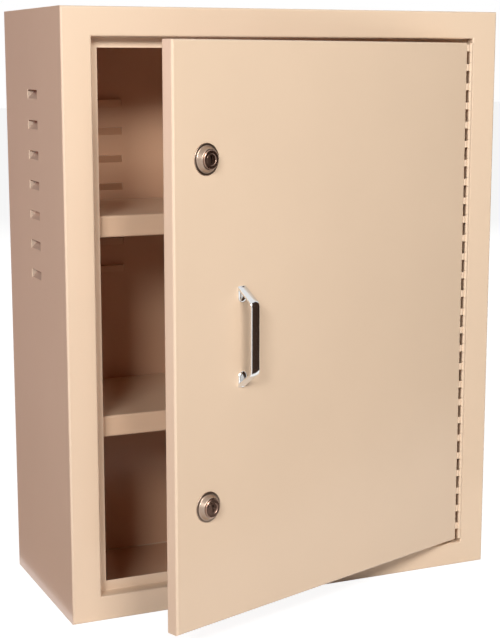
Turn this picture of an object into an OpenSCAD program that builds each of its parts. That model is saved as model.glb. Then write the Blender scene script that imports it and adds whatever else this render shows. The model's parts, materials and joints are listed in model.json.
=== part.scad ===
/* [Casing] */
// Overall width of the casing
case_w = 603; // [450:1:760]
// Overall height of the casing
case_h = 762; // [740:1:950]
// Overall depth of the casing
case_d = 254; // [210:1:320]
// Thickness of the body and door sheet
sheet_t = 1.2; // [0.9:0.1:1.6]
// Inside radius of every sheet bend
bend_r = 1.5; // [1:0.25:2.5]
// Width of the face at the door's free edge
stile_w = 38; // [28:1:60]
// Width of the face at the door's hinge
hinge_stile_w = 36.4; // [28:0.1:60]
// Height of the face above the door
top_rail_h = 35.5; // [28:0.5:60]
// Height of the face below the door
bottom_rail_h = 32; // [28:0.5:60]
// Width of the stop flange round the opening
stop_w = 12.7; // [8:0.1:20]
// Width of the weld flange round the back
back_flange_w = 16; // [12:1:24]

/* [Wall fixing] */
// Distance between wall holes across the back
wall_hole_pitch_x = 406.4; // [400:0.1:420]
// Distance between wall holes up the back
wall_hole_pitch_z = 609.6; // [400:0.1:640]
// Diameter of each wall hole
wall_hole_d = 7.2; // [5:0.1:10]

/* [Shelves] */
// Height of the welded shelf's top above the base
fixed_shelf_z = 256.5; // [150:0.5:330]
// Which louvre, counted from the lowest as 0, carries the loose shelf
loose_shelf_louvre = 2; // [0:1:5]
// Depth of a shelf's front edge behind the casing's face
shelf_setback = 33; // [31:1:60]
// Height of a shelf's front lip
shelf_lip_h = 27; // [18:1:36]
// Height of a shelf's rear lip
shelf_rear_lip_h = 16; // [10:1:24]
// Width of the return under a shelf's front lip
shelf_return_w = 11; // [6:1:18]
// Height of the welded shelf's end flanges
shelf_tab_h = 14; // [8:1:20]
// Gap between the loose shelf and each side
shelf_side_gap = 1; // [0.5:0.1:3]
// Gap between the welded shelf and the back panel
shelf_back_gap = 1.6; // [0.5:0.1:6]

/* [Shelf louvres] */
// Number of louvres in each side
louvre_count = 7; // [3:1:7]
// Distance between louvres
louvre_pitch = 38.1; // [30:0.1:42]
// Height of the lowest louvre's resting edge
louvre_first_z = 432; // [400:1:450]
// Length of a louvre along the side's depth
louvre_w = 45; // [24:1:60]
// Height of a louvre's sloping face
louvre_h = 10; // [7:0.5:16]
// How far a louvre stands inside the casing
louvre_d = 8; // [5:0.5:10]
// How far a louvre's ends slope in
louvre_end = 4; // [2:0.5:8]
// Height of the open slit above a louvre
louvre_slit = 1.8; // [1:0.1:3]
// Distance across the back panel between its two columns of shelf rests
back_rest_pitch = 325; // [240:1:330]

/* [Door] */
// Thickness of the door pan
door_t = 18.5; // [16:0.5:28]
// Width of the lip folded round the door's back
door_lip_w = 13; // [8:1:24]
// Gap between the door and the opening at the free edge
door_free_gap = 4.7; // [2:0.1:8]
// Gap between the door and the opening at the top
door_top_gap = 4.8; // [2:0.1:8]
// Gap between the door and the opening at the bottom
door_bottom_gap = 5.5; // [2:0.1:8]
// Gap between the shut door's back and the stop flange
door_stop_gap = 1.8; // [1:0.1:4]
// How far the door stands open
door_open = 19.44; // [0:0.01:110]
// Width of the stiffener's raised part
stiffener_w = 56; // [30:1:90]
// Depth of the stiffener
stiffener_d = 14; // [8:0.5:14]
// Width of each of the stiffener's weld flanges
stiffener_flange_w = 15; // [10:1:20]
// Thickness of the stiffener's sheet
stiffener_t = 1; // [0.8:0.1:1.5]

/* [Continuous hinge] */
// Diameter of the hinge pin
pin_d = 2.4; // [2:0.1:3.6]
// Thickness of the hinge leaves
leaf_t = 1.2; // [0.9:0.1:1.5]
// Depth of each leaf behind the pin
leaf_w = 14; // [10:0.5:15]
// Gap between the knuckles and the door pan's edge
hinge_edge_gap = 4.4; // [2.5:0.1:6]
// Height of the neck that joins each door knuckle to its leaf
neck_h = 8.8; // [5:0.1:10]
// Number of knuckles, both leaves together
knuckle_count = 54; // [30:2:60]
// Clearance between a knuckle's bore and the pin, on the radius
pin_clearance = 0.05; // [0.02:0.01:0.1]
// Gap between one knuckle and the next
knuckle_gap = 0.3; // [0.2:0.05:0.6]
// Gap between the hinge and the door's top and bottom
hinge_end_gap = 0.6; // [0:0.1:6]
// How far round the pin each knuckle is curled
curl_angle = 285; // [240:5:290]

/* [Key locks] */
// Distance from the door's free edge to each lock
lock_edge_offset = 49; // [40:1:60]
// Distance from the door's top to the upper lock
upper_lock_drop = 132.5; // [80:0.5:180]
// Distance from the door's bottom to the lower lock
lower_lock_rise = 146.5; // [80:0.5:180]
// Diameter of a lock's rosette
rosette_d = 37; // [32:0.5:44]
// Diameter of the rosette's raised rim
rosette_rim_d = 24.5; // [23:0.5:27]
// How far a rosette stands off the door
rosette_h = 7.4; // [4:0.1:10]
// Width of the rosette's flat flange
rosette_flange_w = 3; // [1.5:0.1:4]
// Diameter of a lock's threaded barrel
barrel_d = 19; // [16:0.1:20]
// Width across the barrel's two flats
barrel_flats = 16; // [13.5:0.1:18]
// Diameter of the barrel's head
barrel_head_d = 22.4; // [21:0.1:24]
// Thickness of the barrel's head
barrel_head_t = 1.7; // [1:0.1:3]
// Diameter of the turning plug
plug_d = 13; // [10:0.5:13]
// Width of the keyway
keyway_w = 1.8; // [1.2:0.1:2.4]
// Height of the keyway
keyway_h = 8.6; // [6:0.1:9]
// Depth of the keyway
keyway_depth = 9; // [4:0.5:14]
// Clearance between the plug and the barrel, on the radius
plug_clearance = 0.05; // [0.02:0.01:0.1]
// Width across the lock nut's flats
nut_flats = 25.4; // [23:0.1:28]
// Thickness of the lock nut
nut_t = 4; // [2.5:0.5:6]
// Thickness of the cam
cam_t = 2.4; // [1.5:0.1:3]
// Width of the cam's arm
cam_w = 14; // [10:0.5:16]
// How far the cam reaches past the stop flange's edge
cam_overlap = 8.5; // [4:0.5:10]
// Gap between the cam and the back of the stop flange
cam_gap = 1.4; // [0.8:0.1:3]
// Width across the square that drives the cam
cam_square = 8; // [6:0.5:9]
// Diameter of the cam screw
cam_screw_d = 4; // [3:0.5:5]

/* [Pull handle] */
// Distance from the door's free edge to the handle
handle_edge_offset = 104; // [90:1:150]
// Distance between the two feet
handle_pitch = 101.6; // [76:0.1:130]
// How far the grip's outer face stands off the door
handle_standoff = 24; // [20:0.5:40]
// Width of the handle's bar
handle_w = 13; // [9:0.5:18]
// Thickness of the handle's bar
handle_t = 3.4; // [2.5:0.1:5]
// Length of each foot
handle_foot_l = 19.6; // [15:0.1:26]
// Thickness of each foot
handle_foot_t = 3; // [2.6:0.1:4]
// Straight distance from one grip corner to the other
handle_grip_l = 84; // [60:1:96]
// Inside radius of each grip corner
handle_corner_r = 7; // [3:0.5:9]
// Diameter of each handle screw
handle_screw_d = 4; // [3:0.5:5]

/* [Hidden] */
$fn = 64;

// Overshoot of a cut past the face it opens
cut = 1;
// Standing clearance of pieces that rest on each other and lift apart
seat_gap = 0.3;
// Clearance of a hole round a fixed shank, on the radius
hole_clearance = 0.15;
// Clearance of a thread or square round what fills it, on each side
fit_clearance = 0.05;
// Room between the back panel's edges and the side sheets' bends
panel_gap = 0.5;

// Casing
half_w = case_w / 2;
face_y = -case_d / 2;
bend_out = bend_r + sheet_t;
stop_depth = door_t + door_stop_gap;
open_left = -half_w + stile_w;
open_right = half_w - hinge_stile_w;
open_bottom = bottom_rail_h;
open_top = case_h - top_rail_h;
side_inner = half_w - sheet_t;
back_panel_y = face_y + case_d - 2 * sheet_t;
back_panel_margin = bend_out + panel_gap;

// Hinge
bore_r = pin_d / 2 + pin_clearance;
knuckle_r = bore_r + leaf_t;
hinge_x = open_right - knuckle_r;
hinge_edge_x = knuckle_r + hinge_edge_gap;
notch_y = knuckle_r + 2 * knuckle_gap;

// Door
door_z0 = open_bottom + door_bottom_gap;
door_z1 = open_top - door_top_gap;
door_h = door_z1 - door_z0;
door_reach = hinge_x - open_left - door_free_gap;
door_w = door_reach - hinge_edge_x;
hinge_z0 = door_z0 + hinge_end_gap;
hinge_h = door_h - 2 * hinge_end_gap;
knuckle_pitch = hinge_h / knuckle_count;

// Shelves
shelf_y0 = face_y + shelf_setback;
fixed_shelf_y1 = back_panel_y - shelf_back_gap;
loose_shelf_y1 = back_panel_y - louvre_d + sheet_t;
loose_shelf_z = louvre_first_z + loose_shelf_louvre * louvre_pitch + seat_gap + sheet_t;
// How far each of the back's louvres lies below the side louvre that holds the same shelf
back_rest_drop = shelf_rear_lip_h - sheet_t;

// Locks: distances along a lock's own axis run from the door's outer face, into the casing
lock_reach = door_reach - lock_edge_offset;
upper_lock_z = door_z1 - upper_lock_drop;
lower_lock_z = door_z0 + lower_lock_rise;
cam_z = stop_depth + sheet_t + cam_gap;
collar_t = 1.8;
collar_lap = 1.5;
barrel_len = cam_z - collar_t - seat_gap;
rosette_t = sheet_t;
rosette_edge_r = 0.4 * rosette_t;
plug_recess = 0.4;
plug_tip = -rosette_h - barrel_head_t + plug_recess;
cam_hub_d = 19;
cam_reach = hinge_x - lock_reach - open_left - stop_w + cam_overlap;
cam_screw_head_d = 9;
cam_screw_head_h = 2.6;
cam_screw_len = 9;
cam_screw_slot = 1.2;
// How much of a cam screw's length lies inside its head
cam_screw_root = 1;

// Handle
handle_reach = door_reach - handle_edge_offset;
handle_z = (door_z0 + door_z1) / 2;
// Metal left over a screw hole's end in a handle's foot
foot_skin = 0.4;
handle_screw_depth = handle_foot_t - foot_skin;
handle_screw_head_d = 7.6;
handle_screw_head_h = 2.4;

// Colours
body_paint = "#e0c8ac";
chrome = "#c9cbce";
zinc = "#a9abad";
pin_steel = "#8e9092";

function unit(v) = v / norm(v);
function along(path, i) = unit(path[i + 1] - path[i]);
function across(v) = [-v.y, v.x];
function heading(v) = atan2(v.y, v.x);
function corner_r(r, i) = is_list(r) ? r[i - 1] : r;

// Angle that a path turns through at its corner i, positive to the left
function turn_at(path, i) =
    let (a = along(path, i - 1), b = along(path, i))
    atan2(cross(a, b), a * b);

// Length that the bend at corner i takes from each of its two legs; the ends take none
function bend_setback(path, t, r, i) =
    i == 0 || i == len(path) - 1 ? 0 : (corner_r(r, i) + t / 2) * tan(abs(turn_at(path, i)) / 2);

// Part of a flat ring, from a starting angle through a sweep
module arc_band(r, t, start, sweep) {
    // A fan of straight-sided wedges cuts the ring, far enough out that their chords clear it
    wedge_angle = 40;
    reach = 2 * (r + t);
    steps = ceil(abs(sweep) / wedge_angle);
    fan = [for (k = [0 : steps]) let (a = start + sweep * k / steps) reach * [cos(a), sin(a)]];
    intersection() {
        difference() {
            circle(r + t);
            circle(r);
        }
        polygon(concat([[0, 0]], fan));
    }
}

// Outline of folded sheet of thickness t, whose middle follows path and whose bends have inside radius r
module folded(path, t, r) {
    last = len(path) - 1;
    for (i = [0 : last - 1]) {
        a = along(path, i);
        from = bend_setback(path, t, r, i);
        to = bend_setback(path, t, r, i + 1);
        translate(path[i] + a * from)
            rotate(heading(a))
                translate([0, -t / 2])
                    square([norm(path[i + 1] - path[i]) - from - to, t]);
    }
    for (i = [1 : last - 1]) {
        a = along(path, i - 1);
        turn = turn_at(path, i);
        side = sign(turn);
        radius = corner_r(r, i);
        centre = path[i] - a * bend_setback(path, t, r, i) + side * across(a) * (radius + t / 2);
        translate(centre)
            arc_band(radius, t, heading(-side * across(a)), turn);
    }
}

// Section through a casing panel: u runs in from its outer face, v runs back from the casing's front
module panel_section(face_w) {
    mid = sheet_t / 2;
    folded([
        [back_flange_w, case_d - mid],
        [mid, case_d - mid],
        [mid, mid],
        [face_w - mid, mid],
        [face_w - mid, stop_depth + mid],
        [face_w + stop_w, stop_depth + mid]
    ], sheet_t, bend_r);
}

// Corner cut of the casing's face, from the outer corner in to the stop flange's corner
function mitre(stile, rail) = [
    [0, 0],
    [bend_out, bend_out],
    [stile, rail],
    [stile + stop_w, rail + stop_w]
];

function reversed(list) = [for (i = [len(list) - 1 : -1 : 0]) list[i]];

// Block through the whole depth of the casing, over an outline in its front view
module front_block(outline) {
    translate([0, case_d / 2 + cut, 0])
        rotate([90, 0, 0])
            linear_extrude(case_d + 2 * cut)
                polygon(outline);
}

// Outer form of a louvre, which stands in +x from a sheet's inner face with its resting edge at height 0
module louvre_wedge() {
    intersection() {
        rotate([90, 0, 0])
            linear_extrude(louvre_w, center = true)
                polygon([[-sheet_t / 2, -louvre_h], [0, -louvre_h], [louvre_d, 0], [-sheet_t / 2, 0]]);
        translate([0, 0, -louvre_h - cut])
            linear_extrude(louvre_h + 2 * cut)
                polygon([
                    [-sheet_t / 2, -louvre_w / 2],
                    [0, -louvre_w / 2],
                    [louvre_d, -louvre_w / 2 + louvre_end],
                    [louvre_d, louvre_w / 2 - louvre_end],
                    [0, louvre_w / 2],
                    [-sheet_t / 2, louvre_w / 2]
                ]);
    }
}

// Hollow behind a louvre, up to a height: the slit's top, or under the skin of a rest with a closed top
module louvre_void(top = louvre_slit) {
    inner = louvre_w / 2 - sheet_t;
    shoulder = min(top, 0);
    reach = louvre_d * (1 + shoulder / louvre_h) - sheet_t;
    intersection() {
        rotate([90, 0, 0])
            linear_extrude(louvre_w, center = true)
                polygon(concat(
                    [[-sheet_t - cut, -louvre_h], [-sheet_t, -louvre_h], [reach, shoulder]],
                    top > shoulder ? [[reach, top]] : [],
                    [[-sheet_t - cut, top]]
                ));
        translate([0, 0, -louvre_h - cut])
            linear_extrude(louvre_h + louvre_slit + 2 * cut)
                polygon([
                    [-sheet_t - cut, -inner],
                    [-sheet_t, -inner],
                    [louvre_d - sheet_t, -inner + louvre_end],
                    [louvre_d - sheet_t, inner - louvre_end],
                    [-sheet_t, inner],
                    [-sheet_t - cut, inner]
                ]);
    }
}

module at_side_louvres() {
    for (i = [0 : louvre_count - 1])
        translate([-side_inner, 0, louvre_first_z + i * louvre_pitch])
            children();
}

// Shelf rests of the back panel, pressed like the louvres but with closed tops
module at_back_rests() {
    for (side = [-1, 1], i = [0 : louvre_count - 1])
        translate([
            side * back_rest_pitch / 2,
            back_panel_y,
            louvre_first_z + i * louvre_pitch - back_rest_drop
        ])
            rotate([0, 0, -90])
                children();
}

// Side of the casing, laid out as the left one, with a face of the given width
module side_panel(stile) {
    outline = concat(
        [for (p = mitre(stile, bottom_rail_h)) [-half_w + p.x, p.y]],
        [for (p = reversed(mitre(stile, top_rail_h))) [-half_w + p.x, case_h - p.y]]
    );
    difference() {
        union() {
            intersection() {
                translate([-half_w, face_y, 0])
                    linear_extrude(case_h)
                        panel_section(stile);
                front_block(outline);
            }
            at_side_louvres() louvre_wedge();
        }
        at_side_louvres() louvre_void();
    }
}

// Top or bottom panel, laid out as a bottom one from a face of the given height
module end_panel(rail) {
    outline = concat(
        [for (p = mitre(stile_w, rail)) [-half_w + p.x, p.y]],
        [for (p = reversed(mitre(hinge_stile_w, rail))) [half_w - p.x, p.y]]
    );
    intersection() {
        translate([-half_w, face_y, 0])
            mirror([0, 0, 1])
                rotate([0, 90, 0])
                    linear_extrude(case_w)
                        panel_section(rail);
        front_block(outline);
    }
}

module left_side() {
    color(body_paint) side_panel(stile_w);
}

module right_side() {
    color(body_paint) mirror([1, 0, 0]) side_panel(hinge_stile_w);
}

module bottom_panel() {
    color(body_paint) end_panel(bottom_rail_h);
}

module top_panel() {
    color(body_paint)
        translate([0, 0, case_h])
            mirror([0, 0, 1])
                end_panel(top_rail_h);
}

module back_panel() {
    inner_w = case_w - 2 * back_panel_margin;
    inner_h = case_h - 2 * back_panel_margin;
    color(body_paint)
        difference() {
            union() {
                translate([-inner_w / 2, back_panel_y, back_panel_margin])
                    cube([inner_w, sheet_t, inner_h]);
                at_back_rests() louvre_wedge();
            }
            at_back_rests() louvre_void(-sheet_t);
            for (side = [-1, 1], end = [-1, 1])
                translate([
                    side * wall_hole_pitch_x / 2,
                    back_panel_y - cut,
                    case_h / 2 + end * wall_hole_pitch_z / 2
                ])
                    rotate([-90, 0, 0])
                        cylinder(d = wall_hole_d, h = sheet_t + 2 * cut);
        }
}

// Shelf tray of a given width, back to rear_y, with its top at height 0: lips folded down in front and behind
module shelf_tray(width, rear_y) {
    mid = sheet_t / 2;
    depth = rear_y - shelf_y0;
    rotate([0, 90, 0])
        translate([0, shelf_y0, -width / 2])
            linear_extrude(width)
                folded([
                    [shelf_lip_h - mid, shelf_return_w],
                    [shelf_lip_h - mid, mid],
                    [mid, mid],
                    [mid, depth - mid],
                    [shelf_rear_lip_h, depth - mid]
                ], sheet_t, bend_r);
}

// Weld flange folded down from one end of the welded shelf
module shelf_tab() {
    mid = sheet_t / 2;
    run = fixed_shelf_y1 - shelf_y0 - 2 * (bend_out + shelf_return_w);
    translate([0, shelf_y0 + bend_out + shelf_return_w + run, 0])
        rotate([90, 0, 0])
            linear_extrude(run)
                folded([
                    [-side_inner + mid, -shelf_tab_h],
                    [-side_inner + mid, -mid],
                    [-side_inner + bend_out + shelf_tab_h, -mid]
                ], sheet_t, bend_r);
}

module shelf_fixed() {
    color(body_paint)
        translate([0, 0, fixed_shelf_z]) {
            shelf_tray(2 * (side_inner - bend_out), fixed_shelf_y1);
            shelf_tab();
            mirror([1, 0, 0]) shelf_tab();
        }
}

module shelf_adjustable() {
    color(body_paint)
        translate([0, 0, loose_shelf_z])
            shelf_tray(2 * (side_inner - shelf_side_gap), loose_shelf_y1);
}

// Places what hangs on the hinge: x runs from the pin to the frame, y runs into the door
module at_door() {
    translate([hinge_x, face_y, 0])
        rotate([0, 0, door_open])
            children();
}

// Every second knuckle's place along the pin, from knuckle number first, for a piece of the given height
module at_knuckles(first, height) {
    for (i = [first : 2 : knuckle_count - 1])
        translate([0, 0, hinge_z0 + hinge_h - (i + 0.5) * knuckle_pitch - height / 2])
            linear_extrude(height)
                children();
}

// Knuckles of one leaf: sheet curled round the pin from its left side, over the front
module knuckles(first) {
    at_knuckles(first, knuckle_pitch - knuckle_gap)
        arc_band(bore_r, leaf_t, 180, curl_angle);
}

// Leaf that lies edge_x to the left of the pin, notched behind the other leaf's knuckles
module hinge_plate(edge_x) {
    translate([-edge_x, notch_y, hinge_z0])
        cube([leaf_t, leaf_w - notch_y, hinge_h]);
}

// The door's leaf lies on the pan's edge; each neck runs from it to a knuckle, level with the door's face
module hinge_leaf_door() {
    mid = leaf_t / 2;
    color(body_paint)
        at_door() {
            knuckles(0);
            at_knuckles(0, neck_h)
                folded([
                    [-bore_r - mid, mid],
                    [-hinge_edge_x + mid, mid],
                    [-hinge_edge_x + mid, notch_y + leaf_t]
                ], leaf_t, leaf_t / 2);
            hinge_plate(hinge_edge_x);
        }
}

// The frame's leaf lies on the casing's return, in line with the outside of its knuckles
module hinge_leaf_frame() {
    color(body_paint)
        translate([hinge_x, face_y, 0])
            mirror([1, 0, 0]) {
                knuckles(1);
                at_knuckles(1, knuckle_pitch - knuckle_gap)
                    translate([-knuckle_r, 0])
                        square([leaf_t, notch_y + leaf_t]);
                hinge_plate(knuckle_r);
            }
}

module hinge_pin() {
    color(pin_steel)
        translate([hinge_x, face_y, hinge_z0])
            cylinder(d = pin_d, h = hinge_h);
}

// One folded edge of the door pan, of a given length, cut to a mitre at both ends
module pan_edge(length) {
    mid = sheet_t / 2;
    intersection() {
        linear_extrude(length)
            folded([
                [door_lip_w, mid],
                [mid, mid],
                [mid, door_t - mid],
                [door_lip_w, door_t - mid]
            ], sheet_t, bend_r);
        translate([0, door_t + cut, 0])
            rotate([90, 0, 0])
                linear_extrude(door_t + 2 * cut)
                    polygon([
                        [0, 0],
                        [door_lip_w, door_lip_w],
                        [door_lip_w, length - door_lip_w],
                        [0, length]
                    ]);
    }
}

module door_shell() {
    translate([-door_reach, 0, door_z0]) {
        pan_edge(door_h);
        translate([door_w, 0, 0]) mirror([1, 0, 0]) pan_edge(door_h);
        translate([0, 0, door_h]) rotate([0, 90, 0]) pan_edge(door_w);
        mirror([0, 0, 1]) rotate([0, 90, 0]) pan_edge(door_w);
        translate([door_lip_w, 0, door_lip_w])
            cube([door_w - 2 * door_lip_w, sheet_t, door_h - 2 * door_lip_w]);
    }
}

// Places what is centred on a lock's axis: z runs into the casing, y runs down
module at_lock(height) {
    at_door()
        translate([-lock_reach, 0, height])
            rotate([-90, 0, 0])
                children();
}

// Round with two flats, as a barrel and the hole for it have
module double_flat(clearance) {
    intersection() {
        circle(d = barrel_d + 2 * clearance);
        square([2 * barrel_d, barrel_flats + 2 * clearance], center = true);
    }
}

// Places each handle screw: z runs into the casing from the door's outer face
module at_handle_screws() {
    for (side = [-1, 1])
        translate([-handle_reach, 0, handle_z + side * handle_pitch / 2])
            rotate([-90, 0, 0])
                children();
}

module door_pan() {
    color(body_paint)
        difference() {
            at_door() door_shell();
            for (height = [lower_lock_z, upper_lock_z])
                at_lock(height)
                    translate([0, 0, -cut])
                        linear_extrude(sheet_t + 2 * cut)
                            double_flat(hole_clearance);
            at_door()
                at_handle_screws()
                    translate([0, 0, -cut])
                        cylinder(d = handle_screw_d + 2 * hole_clearance, h = sheet_t + 2 * cut);
        }
}

// Hat section welded up the middle of the door's back
module door_stiffener() {
    low = sheet_t + stiffener_t / 2;
    high = sheet_t + stiffener_d - stiffener_t / 2;
    half = stiffener_w / 2;
    length = door_h - 2 * (bend_out + stiffener_t);
    color(body_paint)
        at_door()
            translate([-hinge_edge_x - door_w / 2, 0, door_z0 + bend_out + stiffener_t])
                linear_extrude(length)
                    folded([
                        [-half - stiffener_flange_w, low],
                        [-half, low],
                        [-half, high],
                        [half, high],
                        [half, low],
                        [half + stiffener_flange_w, low]
                    ], stiffener_t, bend_r);
}

// Pressed collar under a lock's head
module lock_rosette(height) {
    inner_r = barrel_d / 2 + hole_clearance;
    rim_r = rosette_rim_d / 2;
    skirt_r = rosette_d / 2 - rosette_flange_w;
    color(chrome)
        at_lock(height)
            rotate_extrude()
                offset(r = rosette_edge_r)
                    offset(delta = -rosette_edge_r)
                        polygon([
                            [rosette_d / 2, 0],
                            [rosette_d / 2, -rosette_t],
                            [skirt_r, -rosette_t],
                            [rim_r, -rosette_h],
                            [inner_r, -rosette_h],
                            [inner_r, -rosette_h + rosette_t],
                            [rim_r - rosette_t / 2, -rosette_h + rosette_t],
                            [skirt_r - rosette_t / 2, 0]
                        ]);
}

module lock_barrel(height) {
    bore_d = plug_d + 2 * plug_clearance;
    head_z = -rosette_h - barrel_head_t;
    bevel = barrel_head_t / 3;
    color(zinc)
        at_lock(height)
            difference() {
                union() {
                    translate([0, 0, head_z])
                        cylinder(d1 = barrel_head_d - 2 * bevel, d2 = barrel_head_d, h = bevel);
                    translate([0, 0, head_z + bevel])
                        cylinder(d = barrel_head_d, h = barrel_head_t - bevel);
                    translate([0, 0, -rosette_h])
                        cylinder(d = barrel_d, h = rosette_h);
                    linear_extrude(barrel_len) double_flat(0);
                }
                translate([0, 0, head_z - cut])
                    cylinder(d = bore_d, h = barrel_len - head_z + 2 * cut);
            }
}

module lock_nut(height) {
    color(zinc)
        at_lock(height)
            translate([0, 0, sheet_t])
                difference() {
                    cylinder(d = nut_flats / cos(30), h = nut_t, $fn = 6);
                    translate([0, 0, -cut])
                        cylinder(d = barrel_d + 2 * fit_clearance, h = nut_t + 2 * cut);
                }
}

module lock_plug(height) {
    color(zinc)
        at_lock(height)
            difference() {
                union() {
                    translate([0, 0, plug_tip])
                        cylinder(d = plug_d, h = barrel_len + seat_gap - plug_tip);
                    translate([0, 0, barrel_len + seat_gap])
                        cylinder(d = plug_d + 2 * collar_lap, h = collar_t);
                    translate([-cam_square / 2, -cam_square / 2, cam_z])
                        cube([cam_square, cam_square, cam_t]);
                }
                translate([-keyway_w / 2, -keyway_h / 2, plug_tip - cut])
                    cube([keyway_w, keyway_h, keyway_depth + cut]);
                translate([0, 0, cam_z + cam_t - cam_screw_len])
                    cylinder(d = cam_screw_d + 2 * fit_clearance, h = cam_screw_len + cut);
            }
}

module lock_cam(height) {
    hole = cam_square + 2 * fit_clearance;
    tip = cam_reach - cam_w / 2;
    color(zinc)
        at_lock(height)
            translate([0, 0, cam_z])
                linear_extrude(cam_t)
                    difference() {
                        union() {
                            circle(d = cam_hub_d);
                            translate([-cam_w / 2, 0]) square([cam_w, tip]);
                            translate([0, tip]) circle(d = cam_w);
                        }
                        square(hole, center = true);
                    }
}

module lock_cam_screw(height) {
    color(zinc)
        at_lock(height)
            translate([0, 0, cam_z + cam_t])
                difference() {
                    union() {
                        cylinder(d = cam_screw_head_d, h = cam_screw_head_h);
                        translate([0, 0, cam_screw_root - cam_screw_len])
                            cylinder(d = cam_screw_d, h = cam_screw_len);
                    }
                    translate([-cam_screw_head_d / 2 - cut, -cam_screw_slot / 2, cam_screw_head_h / 2])
                        cube([cam_screw_head_d + 2 * cut, cam_screw_slot, cam_screw_head_h]);
                }
}

// Side view of the handle's bar: u runs up the door, v runs out from its face, where the bar is cut off
module handle_bar() {
    foot = (handle_pitch + handle_foot_l) / 2;
    half = handle_grip_l / 2;
    outer = [[-foot, -handle_standoff], [-foot, 0], [-half, handle_standoff]];
    intersection() {
        difference() {
            handle_arch(outer, handle_corner_r + handle_t);
            offset(delta = -handle_t) handle_arch(outer, handle_corner_r + handle_t);
        }
        translate([-handle_pitch, 0]) square([2 * handle_pitch, handle_standoff + cut]);
    }
}

// Filled side view of the handle, mirrored about its middle, with its two grip corners rounded
module handle_arch(half_outline, r) {
    offset(r = r)
        offset(delta = -r)
            polygon(concat(half_outline, [for (p = reversed(half_outline)) [-p.x, p.y]]));
}

module handle_foot() {
    straight = handle_foot_l - handle_w;
    square([handle_w, straight], center = true);
    for (side = [-1, 1])
        translate([0, side * straight / 2])
            circle(d = handle_w);
}

module door_handle() {
    color(chrome)
        at_door()
            difference() {
                union() {
                    translate([-handle_reach, 0, handle_z])
                        rotate([180, 0, 0])
                            rotate([0, 90, 0])
                                linear_extrude(handle_w, center = true)
                                    handle_bar();
                    at_handle_screws()
                        translate([0, 0, -handle_foot_t])
                            linear_extrude(handle_foot_t)
                                handle_foot();
                }
                at_handle_screws()
                    translate([0, 0, -handle_screw_depth])
                        cylinder(d = handle_screw_d + 2 * fit_clearance, h = handle_screw_depth + cut);
            }
}

module handle_screws() {
    color(zinc)
        at_door()
            at_handle_screws() {
                translate([0, 0, -handle_screw_depth + fit_clearance])
                    cylinder(d = handle_screw_d, h = handle_screw_depth + sheet_t);
                translate([0, 0, sheet_t])
                    cylinder(d = handle_screw_head_d, h = handle_screw_head_h);
            }
}

left_side();
right_side();
top_panel();
bottom_panel();
back_panel();
shelf_fixed();
shelf_adjustable();
hinge_leaf_frame();
hinge_leaf_door();
hinge_pin();
door_pan();
door_stiffener();
lock_rosette(upper_lock_z);  // upper_lock_rosette
lock_barrel(upper_lock_z);  // upper_lock_barrel
lock_nut(upper_lock_z);  // upper_lock_nut
lock_plug(upper_lock_z);  // upper_lock_plug
lock_cam(upper_lock_z);  // upper_lock_cam
lock_cam_screw(upper_lock_z);  // upper_lock_cam_screw
lock_rosette(lower_lock_z);  // lower_lock_rosette
lock_barrel(lower_lock_z);  // lower_lock_barrel
lock_nut(lower_lock_z);  // lower_lock_nut
lock_plug(lower_lock_z);  // lower_lock_plug
lock_cam(lower_lock_z);  // lower_lock_cam
lock_cam_screw(lower_lock_z);  // lower_lock_cam_screw
door_handle();
handle_screws();
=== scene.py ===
"""Lockable steel medicine cabinet in baked enamel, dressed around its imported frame."""

import json
import logging
import math
from collections.abc import Iterable, Sequence
from dataclasses import dataclass, field
from enum import Enum
from typing import Any

import bmesh
import bpy
from mathutils import Matrix, Vector


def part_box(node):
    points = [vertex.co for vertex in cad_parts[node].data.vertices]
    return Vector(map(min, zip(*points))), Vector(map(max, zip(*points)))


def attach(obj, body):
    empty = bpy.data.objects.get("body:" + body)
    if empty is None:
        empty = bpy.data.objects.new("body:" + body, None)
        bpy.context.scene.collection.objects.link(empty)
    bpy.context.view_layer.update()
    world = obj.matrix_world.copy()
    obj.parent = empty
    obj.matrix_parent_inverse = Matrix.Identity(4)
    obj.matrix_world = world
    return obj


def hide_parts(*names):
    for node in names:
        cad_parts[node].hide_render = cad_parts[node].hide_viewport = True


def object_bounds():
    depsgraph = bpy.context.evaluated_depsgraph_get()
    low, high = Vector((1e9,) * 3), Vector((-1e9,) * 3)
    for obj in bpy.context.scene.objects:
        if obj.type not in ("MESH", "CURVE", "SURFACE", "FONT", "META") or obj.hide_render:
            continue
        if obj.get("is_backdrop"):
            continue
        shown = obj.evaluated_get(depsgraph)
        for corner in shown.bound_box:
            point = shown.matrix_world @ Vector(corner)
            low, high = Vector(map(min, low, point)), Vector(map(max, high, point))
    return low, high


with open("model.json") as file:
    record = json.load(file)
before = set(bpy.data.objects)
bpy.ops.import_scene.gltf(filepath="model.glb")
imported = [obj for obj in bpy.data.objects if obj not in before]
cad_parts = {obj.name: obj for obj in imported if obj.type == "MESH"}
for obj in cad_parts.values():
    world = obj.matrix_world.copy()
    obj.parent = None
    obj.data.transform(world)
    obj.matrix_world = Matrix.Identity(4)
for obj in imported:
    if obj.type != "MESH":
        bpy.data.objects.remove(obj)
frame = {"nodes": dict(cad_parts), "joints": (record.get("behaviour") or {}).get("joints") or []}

LOG = logging.getLogger("medicine_cabinet")
MM = 0.001
# How far a cutting shape reaches past what it cuts, in millimetres.
PAST = 1.0
WHITE = (1.0, 1.0, 1.0, 1.0)
Point = tuple[float, float]
Colour = tuple[float, float, float]
Triple = tuple[float, float, float]
Ring = list[bmesh.types.BMVert]


class Body(Enum):
    """Bodies that the pieces made here ride on."""

    CASING = "casing"
    DOOR = "door"
    UPPER_CORE = "upper_lock_core"
    LOWER_CORE = "lower_lock_core"


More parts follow.
